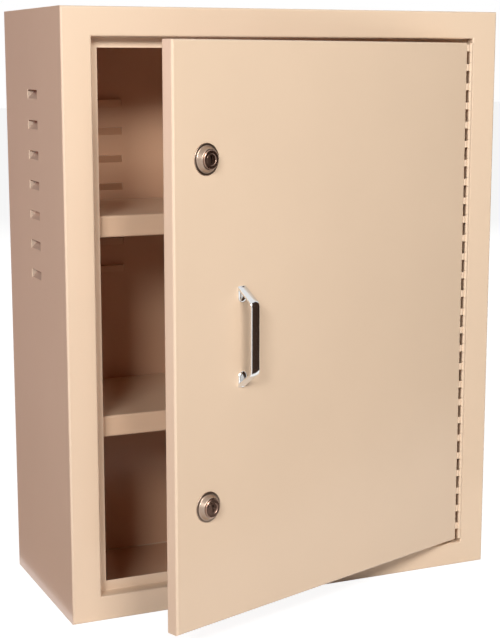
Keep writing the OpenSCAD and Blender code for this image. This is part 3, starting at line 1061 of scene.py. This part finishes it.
    def piece(self, name: str, place: Matrix, sharp_deg: float = 38.0) -> bpy.types.Object:
        """Turns the mesh into an object, in metres.

        Args:
            name: The piece's name.
            place: Its frame.
            sharp_deg: Edges that turn by more than this stay sharp.

        Returns:
            The object.
        """
        bmesh.ops.remove_doubles(self.bm, verts=self.bm.verts, dist=1e-4)
        bmesh.ops.recalc_face_normals(self.bm, faces=self.bm.faces)
        bmesh.ops.scale(self.bm, vec=(MM, MM, MM), verts=self.bm.verts)
        mesh = bpy.data.meshes.new(name)
        self.bm.to_mesh(mesh)
        self.bm.free()
        mesh.polygons.foreach_set("use_smooth", [True] * len(mesh.polygons))
        mesh.set_sharp_from_angle(angle=math.radians(sharp_deg))
        made = bpy.data.objects.new(name, mesh)
        bpy.context.scene.collection.objects.link(made)
        made.matrix_world = place
        weighted = made.modifiers.new("even_faces", "WEIGHTED_NORMAL")
        weighted.keep_sharp = True
        return made


def fit(
    made: bpy.types.Object, body: Body, slot: Slot, material: bpy.types.Material, *nodes: str
) -> bpy.types.Object:
    """Hangs a piece on its body, paints it, and lets it stand for CAD nodes.

    Args:
        made: The piece.
        body: The body that it rides on.
        slot: The record's slot; not used.
        material: Its finish.
        nodes: The CAD nodes that it stands for.

    Returns:
        The piece.
    """
    made.data.materials.clear()
    made.data.materials.append(material)
    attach(made, body.value)
    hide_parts(*nodes)
    return made


def paint_node(name: str, material: bpy.types.Material) -> bpy.types.Object:
    """Gives a CAD node its finish.

    Args:
        name: The node.
        material: Its finish.

    Returns:
        The node's object.
    """
    made = frame["nodes"][name]
    for place in made.material_slots:
        place.material = material
    if not made.material_slots:
        made.data.materials.append(material)
    return made


# ---------------------------------------------------------------- sub-assemblies


@dataclass
class Assembly:
    """A sub-assembly of the cabinet.

    Attributes:
        finishes: Every finish of the cabinet.
    """

    finishes: Finishes

    def build(self) -> list[bpy.types.Object]:
        """Makes and dresses the pieces, and returns them."""
        raise NotImplementedError


@dataclass
class Casing(Assembly):
    """The welded casing: four folded panels, the back and the welded shelf."""

    panels: tuple[str, ...] = ("left_side", "right_side", "top_panel", "bottom_panel", "back_panel")
    shelf: str = "shelf_fixed"

    def build(self) -> list[bpy.types.Object]:
        """Dresses the casing's panels and shelf and returns them."""
        dressed = [paint_node(n, self.finishes.casing_paint) for n in self.panels]
        return dressed + [paint_node(self.shelf, self.finishes.shelf_paint)]


@dataclass
class LooseShelf(Assembly):
    """The shelf that rests on the louvres."""

    node: str = "shelf_adjustable"

    def build(self) -> list[bpy.types.Object]:
        """Dresses the shelf and returns it."""
        return [paint_node(self.node, self.finishes.shelf_paint)]


@dataclass
class ContinuousHinge(Assembly):
    """The hinge: two painted leaves with their knuckles, and the bright pin."""

    pin_d: float = 2.4
    tip_round: float = 0.6

    def build(self) -> list[bpy.types.Object]:
        """Dresses the leaves and makes the pin.

        Returns:
            The three pieces.
        """
        return [
            paint_node("hinge_leaf_frame", self.finishes.casing_paint),
            paint_node("hinge_leaf_door", self.finishes.door_paint),
            self._pin(),
        ]

    def _pin(self) -> bpy.types.Object:
        """Makes the pin with its two rounded tips.

        Returns:
            The pin.
        """
        low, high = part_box("hinge_pin")
        length = (high.z - low.z) / MM
        radius = self.pin_d / 2
        corners = [(0.0, 0.0), (radius, 0.0), (radius, length), (0.0, length)]
        profile = softened(corners, [0, self.tip_round, self.tip_round, 0], 6)
        place = Matrix.Translation(((low.x + high.x) / 2, (low.y + high.y) / 2, low.z))
        made = Blank().lathe(profile, 32).piece("hinge_pin_rod", place)
        return fit(made, Body.CASING, Slot.PIN, self.finishes.pin_steel, "hinge_pin")


@dataclass
class DoorPanel(Assembly):
    """The folded door pan and the stiffener up its back."""

    sheets: tuple[str, ...] = ("door_pan", "door_stiffener")

    def build(self) -> list[bpy.types.Object]:
        """Dresses the door's sheets and returns them."""
        return [paint_node(n, self.finishes.door_paint) for n in self.sheets]


@dataclass
class KeyLock(Assembly):
    """One key lock. Distances are in millimetres along its axis, from the door's outer face into the casing.

    Attributes:
        tag: Which lock it is, as its nodes' names begin.
        core: The body that turns with the key.
    """

    tag: str
    core: Body
    sheet_t: float = 1.2
    rosette_d: float = 37.0
    rim_d: float = 24.5
    rosette_h: float = 7.4
    rosette_gap: float = 0.15
    flange_w: float = 3.0
    barrel_d: float = 19.0
    barrel_flats: float = 16.0
    head_d: float = 22.4
    head_t: float = 1.7
    barrel_len: float = 20.8
    thread_pitch: float = 1.27
    thread_depth: float = 0.55
    plug_d: float = 13.0
    plug_recess: float = 0.4
    collar_d: float = 16.0
    collar_t: float = 1.8
    seat_gap: float = 0.3
    keyway_w: float = 1.8
    keyway_h: float = 8.6
    keyway_depth: float = 9.0
    nut_flats: float = 25.4
    nut_t: float = 4.0
    cam_t: float = 2.4
    cam_w: float = 14.0
    cam_hub_d: float = 19.0
    cam_reach: float = 49.5
    cam_square: float = 8.0
    running_gap: float = 0.05
    screw_d: float = 4.0
    screw_head_d: float = 9.0
    screw_head_h: float = 2.6
    screw_slot: float = 1.2
    screw_len: float = 9.0

    def build(self) -> list[bpy.types.Object]:
        """Makes the lock's pieces, from the door's face inwards.

        Returns:
            The pieces.
        """
        chosen, door, core = self.finishes, Body.DOOR, self.core
        nut_seat = self.sheet_t + self.nut_t / 2
        turned_deg, hexagon_deg = 38.0, 25.0
        rows = (
            ("rosette", self._rosette, 0.0, turned_deg, door, Slot.CHROME, chosen.collar),
            ("barrel", self._barrel, 0.0, turned_deg, door, Slot.LOCK, chosen.lock_face),
            ("nut", self._nut, nut_seat, hexagon_deg, door, Slot.ZINC, chosen.zinc),
            ("plug", self._plug, 0.0, turned_deg, core, Slot.LOCK, chosen.lock_face),
            ("cam", self._cam, 0.0, turned_deg, core, Slot.ZINC, chosen.zinc),
            ("cam_screw", self._cam_screw, 0.0, turned_deg, core, Slot.ZINC, chosen.zinc),
        )
        made = []
        for kind, shaped, seat, sharp_deg, body, slot, material in rows:
            place = self.place @ Matrix.Translation((0, 0, seat * MM))
            piece = shaped().piece(f"{self.tag}_{kind}", place, sharp_deg)
            made.append(fit(piece, body, slot, material, f"{self.tag}_lock_{kind}"))
        return made

    @property
    def place(self) -> Matrix:
        """The lock's frame."""
        return Hanging.lock(f"{self.tag}_lock_turn")

    @property
    def cam_z(self) -> float:
        """Where the cam's outer face lies."""
        return self.barrel_len + self.seat_gap + self.collar_t

    def _rosette(self) -> Blank:
        """Makes the pressed collar, with a rolled rim.

        Returns:
            The collar.
        """
        skirt_r = self.rosette_d / 2 - self.flange_w
        rim_r = self.rim_d / 2
        inner_r = self.barrel_d / 2 + self.rosette_gap
        t = self.sheet_t
        corners = [
            (self.rosette_d / 2, 0.0),
            (self.rosette_d / 2, -t),
            (skirt_r, -t),
            (rim_r, -self.rosette_h),
            (inner_r, -self.rosette_h),
            (inner_r, -self.rosette_h + t),
            (rim_r - t / 2, -self.rosette_h + t),
            (skirt_r - t / 2, 0.0),
        ]
        profile = softened(corners, [0.2, 0.75, 1.6, 1.5, 0.3, 0.3, 0.5, 0.6], 7, closed=True)
        return Blank().lathe(profile, 96)

    def _barrel(self) -> Blank:
        """Makes the threaded barrel with its turned head.

        Returns:
            The barrel.
        """
        bore_r = self.plug_d / 2 + self.running_gap
        head_r = self.head_d / 2
        top = -self.rosette_h - self.head_t
        under = self.barrel_d / 2
        bevel_w, bevel_h, thread_start = 0.9, 0.7, -0.5
        corners = [
            (0.0, top),
            (head_r - bevel_w, top),
            (head_r, top + bevel_h),
            (head_r, -self.rosette_h),
            (under, -self.rosette_h),
            (under, 0.0),
            (0.0, 0.0),
        ]
        profile = softened(corners, [0, 0.5, 0.35, 0, 0, 0, 0], 5)
        thread = (self.thread_depth, self.thread_pitch, thread_start)
        shank = Blank().threaded(under, *thread, self.barrel_len, self.barrel_flats / 2)
        mouth, above, deep = 0.45, 0.5, 30.0
        flare = [(bore_r + above, top - PAST), (bore_r + mouth, top), (bore_r, top + mouth), (bore_r, deep)]
        bore = Blank().lathe([(0, top - PAST), *flare, (0, deep)])
        return Blank().lathe(profile, 96).joined(shank).bored(bore)

    def _nut(self) -> Blank:
        """Makes the hexagon nut, chamfered at both faces, about its own middle.

        Returns:
            The nut.
        """
        bore_r = self.barrel_d / 2 + self.running_gap
        flat_r, half = self.nut_flats / 2, self.nut_t / 2
        steps, bore_edge, face_share, bevel_rise = 72, 0.5, 0.975, 0.5
        face_r = flat_r * face_share
        blank = Blank()
        rings = []
        for flat_face, side in ((True, -1), (False, -1), (False, 1), (True, 1)):
            corners = []
            for k in range(steps):
                angle = math.tau * k / steps
                hexagon = flat_r / math.cos((angle % (math.pi / 3)) - math.pi / 6)
                radius = face_r if flat_face else hexagon
                drop = (radius - face_r) * bevel_rise
                corners.append((radius * math.cos(angle), radius * math.sin(angle), side * (half - drop)))
            rings.append(blank.ring(corners))
        inner = [(bore_r + bore_edge, half), (bore_r, half - bore_edge)]
        inner += [(radius, -z) for radius, z in reversed(inner)]
        rings += [blank.circle(radius, z, steps) for radius, z in inner]
        return blank.bridge(zip(rings, rings[1:] + rings[:1]))

    def _plug(self) -> Blank:
        """Makes the turning plug: a warded keyway in front, a collar and the cam's square behind.

        Returns:
            The plug.
        """
        tip = -self.rosette_h - self.head_t + self.plug_recess
        radius = self.plug_d / 2
        shoulder = self.barrel_len + self.seat_gap
        corners = [
            (0.0, tip),
            (radius, tip),
            (radius, shoulder),
            (self.collar_d / 2, shoulder),
            (self.collar_d / 2, self.cam_z),
            (0.0, self.cam_z),
        ]
        profile = softened(corners, [0, 0.4, 0, 0.3, 0.3, 0], 4)
        half, corner_r, root, end_edge = self.cam_square / 2, 0.6, 0.5, 0.3
        square = softened(box_outline(half, half), [corner_r] * 4, 3, closed=True)
        drive = Blank().slab(square, self.cam_z - root, self.cam_z + self.cam_t, (0, end_edge))
        hole_r = self.screw_d / 2 + self.running_gap
        floor = self.cam_z + self.cam_t - self.screw_len
        deep = floor * 2
        hole = Blank().lathe([(0, floor), (hole_r, floor), (hole_r, deep), (0, deep)], 24)
        return Blank().lathe(profile, 72).joined(drive).bored(hole).bored(self._keyway(tip))

    def _keyway(self, tip: float) -> Blank:
        """Makes the keyway's hollow: a slot with wards along both its sides.

        Args:
            tip: Where the plug's face lies.

        Returns:
            The hollow.
        """
        w, h = self.keyway_w / 2, self.keyway_h / 2
        right = [(-1.0, -1.0), (1.0, -1.0), (1.0, -0.35), (0.1, -0.2), (0.1, 0.1), (1.0, 0.25), (1.0, 1.0)]
        left = [(-1.0, 1.0), (-1.0, 0.62), (-0.15, 0.5), (-0.15, 0.3), (-1.0, 0.12)]
        outline = [(w * x, h * y) for x, y in right + left]
        return Blank().slab(outline, tip - PAST, tip + self.keyway_depth)

    def _cam(self) -> Blank:
        """Makes the stamped cam, hanging down from the plug's square.

        Returns:
            The cam.
        """
        hub, half = self.cam_hub_d / 2, self.cam_w / 2
        tip = self.cam_reach - half
        neck = math.sqrt(hub * hub - half * half)
        start = math.degrees(math.atan2(neck, half))
        outline = [(half, neck)] + arc((0, tip), half, 0, 180, 24)
        outline += arc((0, 0), hub, 180 - start, 360 + start, 40)[:-1]
        hole = self.cam_square / 2 + self.running_gap
        die_edge, punch_edge = 0.45, 0.25
        body = Blank().slab(outline, self.cam_z, self.cam_z + self.cam_t, (die_edge, punch_edge))
        low, high = self.cam_z - PAST, self.cam_z + self.cam_t + PAST
        return body.bored(Blank().slab(box_outline(hole, hole), low, high))

    def _cam_screw(self) -> Blank:
        """Makes the slotted cheese-head screw that holds the cam.

        Returns:
            The screw.
        """
        seat = self.cam_z + self.cam_t
        head_r = self.screw_head_d / 2
        top = seat + self.screw_head_h
        tip_gap, crown_h, crown_w, slot_turn = 1.0, 0.5, 1.6, 0.35
        tip = seat - self.screw_len + tip_gap
        corners = [
            (0.0, tip),
            (self.screw_d / 2, tip),
            (self.screw_d / 2, seat),
            (head_r, seat),
            (head_r, top - crown_h),
            (head_r - crown_w, top),
            (0.0, top),
        ]
        profile = softened(corners, [0, 0.4, 0, 0.2, 0.5, 2.0, 0], 5)
        bar = box_outline(head_r + PAST, self.screw_slot / 2)
        tool = Blank().slab(bar, top - self.screw_head_h / 2, top + PAST)
        return Blank().lathe(profile, 48).bored(tool.moved(Matrix.Rotation(slot_turn, 4, "Z")))


@dataclass
class PullHandle(Assembly):
    """The chrome pull: a crowned strap between two flat feet, screwed from inside the door.

    Attributes are in millimetres.
    """

    pitch: float = 101.6
    standoff: float = 24.0
    width: float = 13.0
    thickness: float = 3.4
    crown: float = 0.75
    foot_l: float = 19.6
    foot_t: float = 3.0
    foot_wall: float = 0.8
    grip_l: float = 84.0
    corner_r: float = 7.0
    screw_d: float = 4.0
    screw_head_d: float = 7.6
    screw_head_h: float = 2.4
    sheet_t: float = 1.2
    sharp_deg: float = 40.0

    @property
    def place(self) -> Matrix:
        """The handle's frame.

        Returns:
            Its place: x runs up the door, y across it, z out from its face.
        """
        low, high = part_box("door_handle")
        middle = Hanging.door().inverted() @ ((low + high) / 2)
        turn = Matrix(((0, 1, 0, 0), (0, 0, -1, 0), (1, 0, 0, 0), (0, 0, 0, 1)))
        return Hanging.door() @ Matrix.Translation((middle.x, 0, middle.z)) @ turn

    def build(self) -> list[bpy.types.Object]:
        """Makes the handle and its screws, and returns them."""
        return [self._strap(), self._screws()]

    def _strap(self) -> bpy.types.Object:
        """Makes the strap with its two feet.

        Returns:
            The handle.
        """
        foot = (self.pitch + self.foot_l) / 2
        half = self.grip_l / 2
        slope = (foot - half) / self.standoff
        under = 4.0
        start = foot + slope * under
        line = [(-start, -under), (-half, self.standoff), (half, self.standoff), (start, -under)]
        bend_r = self.corner_r + self.thickness
        path = softened(line, [0, bend_r, bend_r, 0], 14)
        body = Blank().sweep(self._section(), self._frames(path)).cut_below(0.0)
        for side in (-1, 1):
            body.joined(self._foot().moved(Matrix.Translation((side * self.pitch / 2, 0, 0))))
        made = body.piece("pull_handle", self.place, self.sharp_deg)
        return fit(made, Body.DOOR, Slot.CHROME, self.finishes.chrome, "door_handle")

    def _section(self) -> list[Point]:
        """Draws the strap's section: a crowned outer face and a flat inner one.

        Returns:
            The section.
        """
        half, steps, outer_r, inner_r = self.width / 2, 8, 0.9, 0.7
        crown = [(half * k / steps, -self.crown * (k / steps) ** 2) for k in range(-steps, steps + 1)]
        corners = crown + [(half, -self.thickness), (-half, -self.thickness)]
        radii = [outer_r] + [0.0] * (len(crown) - 2) + [outer_r, inner_r, inner_r]
        return softened(corners, radii, 5, closed=True)

    def _frames(self, path: Sequence[Point]) -> list[tuple[Vector, Vector, Vector]]:
        """Finds how the section stands along the strap.

        Args:
            path: The strap's line.

        Returns:
            For each of its points, the place and the directions across and out.
        """
        made = []
        for i, (u, v) in enumerate(path):
            before = Vector(path[max(i - 1, 0)])
            after = Vector(path[min(i + 1, len(path) - 1)])
            along = (after - before).normalized()
            made.append((Vector((u, 0, v)), Vector((0, 1, 0)), Vector((-along.y, 0, along.x))))
        return made

    def _foot(self) -> Blank:
        """Makes one low, domed foot with round ends.

        Returns:
            The foot, centred on its screw.
        """
        straight, r, dome_share = (self.foot_l - self.width) / 2, self.width / 2, 0.92
        outline = arc((straight, 0), r, -90, 90, 20) + arc((-straight, 0), r, 90, 270, 20)
        return Blank().domed(outline, self.foot_wall, self.foot_t, dome_share * r)

    def _screws(self) -> bpy.types.Object:
        """Makes the two pan-head screws, driven from inside the door.

        Returns:
            Both screws, as one object.
        """
        tip_gap, rim_h, crown_share, cross_turn = 0.45, 0.8, 0.62, 0.4
        cross_l, cross_w, cross_depth = 2.1, 0.55, 1.4
        head_r = self.screw_head_d / 2
        seat, tip = -self.sheet_t, self.foot_t - tip_gap
        top = seat - self.screw_head_h
        whole = Blank()
        for side in (-1, 1):
            corners = [
                (0.0, tip),
                (self.screw_d / 2, tip),
                (self.screw_d / 2, seat),
                (head_r, seat),
                (head_r, seat - rim_h),
                (head_r * crown_share, top),
                (0.0, top),
            ]
            screw = Blank().lathe(softened(corners, [0, 0.3, 0, 0.2, 0.9, 1.6, 0], 5), 48)
            for turn in (cross_turn, cross_turn + math.pi / 2):
                arm = Blank().slab(box_outline(cross_l, cross_w), top - PAST, top + cross_depth)
                screw.bored(arm.moved(Matrix.Rotation(turn, 4, "Z")))
            screw.moved(Matrix.Translation((side * self.pitch / 2, 0, 0)))
            mesh = bpy.data.meshes.new("one_screw")
            screw.bm.to_mesh(mesh)
            whole.bm.from_mesh(mesh)
            bpy.data.meshes.remove(mesh)
        made = whole.piece("handle_screw_pair", self.place)
        return fit(made, Body.DOOR, Slot.ZINC, self.finishes.zinc, "handle_screws")


# ---------------------------------------------------------------- studio


@dataclass(frozen=True)
class Lamp:
    """A soft box.

    Attributes:
        name: Its name.
        azimuth_deg: Where it stands, from straight ahead of the casing towards its right.
        elevation_deg: How high it stands.
        distance: From the cabinet's middle, in metres.
        size: Its width and height, in metres.
        level: How brightly it lights a white card that faces it, where 1 is white.
        colour: Its colour.
        mirrored: Whether glossy surfaces show it.
    """

    name: str
    azimuth_deg: float
    elevation_deg: float
    distance: float
    size: tuple[float, float]
    level: float
    colour: Colour = (1.0, 1.0, 1.0)
    mirrored: bool = True

    def build(self, target: Vector) -> bpy.types.Object:
        """Makes the lamp and aims it.

        Args:
            target: The point that it is aimed at.

        Returns:
            The lamp.
        """
        light = bpy.data.lights.new(self.name, "AREA")
        light.shape = "RECTANGLE"
        light.size, light.size_y = self.size
        light.energy = self.level * math.pi**2 * self.distance**2
        light.color = self.colour
        made = bpy.data.objects.new(self.name, light)
        made.visible_glossy = self.mirrored
        bpy.context.scene.collection.objects.link(made)
        azimuth, elevation = math.radians(self.azimuth_deg), math.radians(self.elevation_deg)
        level = math.cos(elevation)
        back = Vector((math.sin(azimuth) * level, -math.cos(azimuth) * level, math.sin(elevation)))
        made.location = target + back * self.distance
        made.rotation_euler = (-back).to_track_quat("-Z", "Y").to_euler()
        return made


@dataclass(frozen=True)
class DarkCard:
    """A dark card that only bright surfaces mirror, and that neither lights nor shades anything.

    Attributes:
        name: Its name.
        size: Its width and height, in metres.
        at: Its middle.
        turn_deg: How far it is turned about the upright axis; it faces the front at 0.
        lying: Whether it lies flat.
    """

    name: str
    size: tuple[float, float]
    at: Triple
    turn_deg: float = 0.0
    lying: bool = False

    @property
    def place(self) -> Matrix:
        """Where the card is.

        Returns:
            Its place in the studio.
        """
        tilt = 0.0 if self.lying else math.pi / 2
        turn = Matrix.Rotation(math.radians(self.turn_deg), 4, "Z") @ Matrix.Rotation(tilt, 4, "X")
        return Matrix.Translation(self.at) @ turn


@dataclass
class Studio:
    """The plain white studio: floor, surround, soft boxes, dark cards and camera.

    Attributes:
        camera_at: Where the camera stands.
        camera_yaw_deg: How far it is turned to the right.
        camera_pitch_deg: How far it is tilted up.
        lens_mm: Its focal length.
        sensor_mm: Its sensor's width.
        floor_size: The floor's width, in metres.
        floor_gap: How far the floor lies under the cabinet.
        floor_colour: The floor's colour.
        floor_glow: How brightly the floor shines for rays that see it.
        glow_share: The share of that shine; the rest of the floor takes light and shadow.
        ambient: How brightly the surround lights the cabinet.
        ambient_colour: That light's colour.
        card_colour: The dark cards' colour.
        lamps: The soft boxes.
        cards: The dark cards.
    """

    camera_at: Triple = (-0.8159, -1.8168, 0.6980)
    camera_yaw_deg: float = 24.14
    camera_pitch_deg: float = -9.95
    lens_mm: float = 83.03
    sensor_mm: float = 36.0
    floor_size: float = 40.0
    floor_gap: float = 0.0004
    floor_colour: Colour = (0.86, 0.85, 0.84)
    floor_glow: float = 1.38
    glow_share: float = 0.66
    ambient: float = 0.006
    ambient_colour: Colour = (1.0, 0.93, 0.90)
    card_colour: Colour = (0.075, 0.045, 0.032)
    lamps: tuple[Lamp, ...] = (
        Lamp("front_soft_box", -4.0, 32.0, 2.4, (0.8, 0.6), 0.525, (1.0, 0.98, 0.94)),
        Lamp("left_soft_box", -38.0, 23.0, 4.0, (1.05, 0.9), 0.505, (0.97, 1.0, 1.0)),
        Lamp("side_soft_box", -106.0, 14.0, 2.2, (1.0, 1.0), 0.13, (1.0, 0.50, 0.62)),
        Lamp("back_soft_box", 152.0, 28.0, 4.0, (1.4, 1.4), 0.40, (1.0, 0.98, 0.96), False),
    )
    cards: tuple[DarkCard, ...] = (
        DarkCard("dark_card_right", (1.7, 1.9), (0.95, -0.86, 0.75), 62.0),
        DarkCard("dark_card_floor", (2.4, 1.8), (1.15, -1.35, 0.001), 0.0, True),
        DarkCard("dark_card_back", (2.4, 2.2), (-1.55, 0.75, 0.6)),
        DarkCard("dark_card_low", (1.28, 1.3), (-0.95, 0.35, 0.001), 0.0, True),
    )

    def build(self) -> None:
        """Makes everything of the studio."""
        self._world()
        self._floor()
        self._cards()
        low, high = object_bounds()
        for lamp in self.lamps:
            lamp.build((low + high) / 2)
        self._camera()

    def _seen(self, mix: Recipe) -> Value:
        """Returns 1 for rays that see the background: from the camera, and off and through surfaces."""
        path = mix.node("ShaderNodeLightPath", output="Is Camera Ray")
        return path.greater(path.output("Is Glossy Ray")).greater(path.output("Is Transmission Ray"))

    def _world(self) -> None:
        """Makes the surround: white where it is seen, and a plain soft light elsewhere."""
        world = bpy.data.worlds.new("studio_surround")
        bpy.context.scene.world = world
        mix = Recipe(world)
        lit = {"Color": (*self.ambient_colour, 1.0), "Strength": self.ambient}
        soft = mix.node("ShaderNodeBackground", inputs=lit)
        white = mix.node("ShaderNodeBackground", inputs={"Color": WHITE, "Strength": 1.0})
        both = mix.node("ShaderNodeMixShader", inputs={0: self._seen(mix), 1: soft, 2: white})
        mix.node("ShaderNodeOutputWorld", inputs={"Surface": both})

    def _plane(self, name: str, width: float, height: float, place: Matrix) -> bpy.types.Object:
        """Makes a flat sheet for the stage.

        Args:
            name: Its name.
            width: Its width, in metres.
            height: Its height, in metres.
            place: Where it is.

        Returns:
            The sheet.
        """
        bm = bmesh.new()
        bmesh.ops.create_grid(bm, x_segments=1, y_segments=1, size=0.5)
        bmesh.ops.scale(bm, vec=(width, height, 1.0), verts=bm.verts)
        mesh = bpy.data.meshes.new(name)
        bm.to_mesh(mesh)
        bm.free()
        made = bpy.data.objects.new(name, mesh)
        bpy.context.scene.collection.objects.link(made)
        made.matrix_world = place
        made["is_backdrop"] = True
        return made

    def _floor(self) -> None:
        """Makes the pale floor, which shows white and keeps the cabinet's shadow."""
        place = Matrix.Translation((0, 0, -self.floor_gap))
        floor = self._plane("floor", self.floor_size, self.floor_size, place)
        mix = Recipe.named("white_floor")
        card = mix.node("ShaderNodeBsdfDiffuse", inputs={"Color": (*self.floor_colour, 1.0)})
        glow = mix.node("ShaderNodeEmission", inputs={"Color": WHITE, "Strength": self.floor_glow})
        share = self._seen(mix) * self.glow_share
        both = mix.node("ShaderNodeMixShader", inputs={0: share, 1: card, 2: glow})
        mix.node("ShaderNodeOutputMaterial", inputs={"Surface": both})
        floor.data.materials.append(mix.holder)

    def _cards(self) -> None:
        """Makes the dark cards."""
        dark = {"Base Color": (*self.card_colour, 1.0), "Roughness": 1.0, "Specular IOR Level": 0.0}
        material = Recipe.named("dark_card").finish(dark)
        for card in self.cards:
            made = self._plane(card.name, *card.size, card.place)
            made.data.materials.append(material)
            made.visible_camera = False
            made.visible_diffuse = False
            made.visible_shadow = False
            made.visible_transmission = False

    def _camera(self) -> None:
        """Makes the camera."""
        lens = bpy.data.cameras.new("camera")
        lens.sensor_width = self.sensor_mm
        lens.lens = self.lens_mm
        lens.clip_start = 0.01
        lens.clip_end = 200.0
        made = bpy.data.objects.new("camera", lens)
        bpy.context.scene.collection.objects.link(made)
        made.location = self.camera_at
        made.rotation_euler = (
            math.radians(90.0 + self.camera_pitch_deg),
            0.0,
            -math.radians(self.camera_yaw_deg),
        )
        bpy.context.scene.camera = made


def main() -> None:
    """Builds the cabinet and its studio."""
    logging.basicConfig(level=logging.INFO, format="%(name)s: %(message)s")
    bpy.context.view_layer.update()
    bpy.context.scene.view_settings.view_transform = "Standard"
    finishes = Finishes()
    assemblies: tuple[Assembly, ...] = (
        Casing(finishes),
        LooseShelf(finishes),
        ContinuousHinge(finishes),
        DoorPanel(finishes),
        KeyLock(finishes, "upper", Body.UPPER_CORE),
        KeyLock(finishes, "lower", Body.LOWER_CORE),
        PullHandle(finishes),
    )
    for assembly in assemblies:
        for made in assembly.build():
            LOG.info("%s: %s, %d faces", type(assembly).__name__, made.name, len(made.data.polygons))
    Studio().build()


if __name__ == "__main__":
    main()
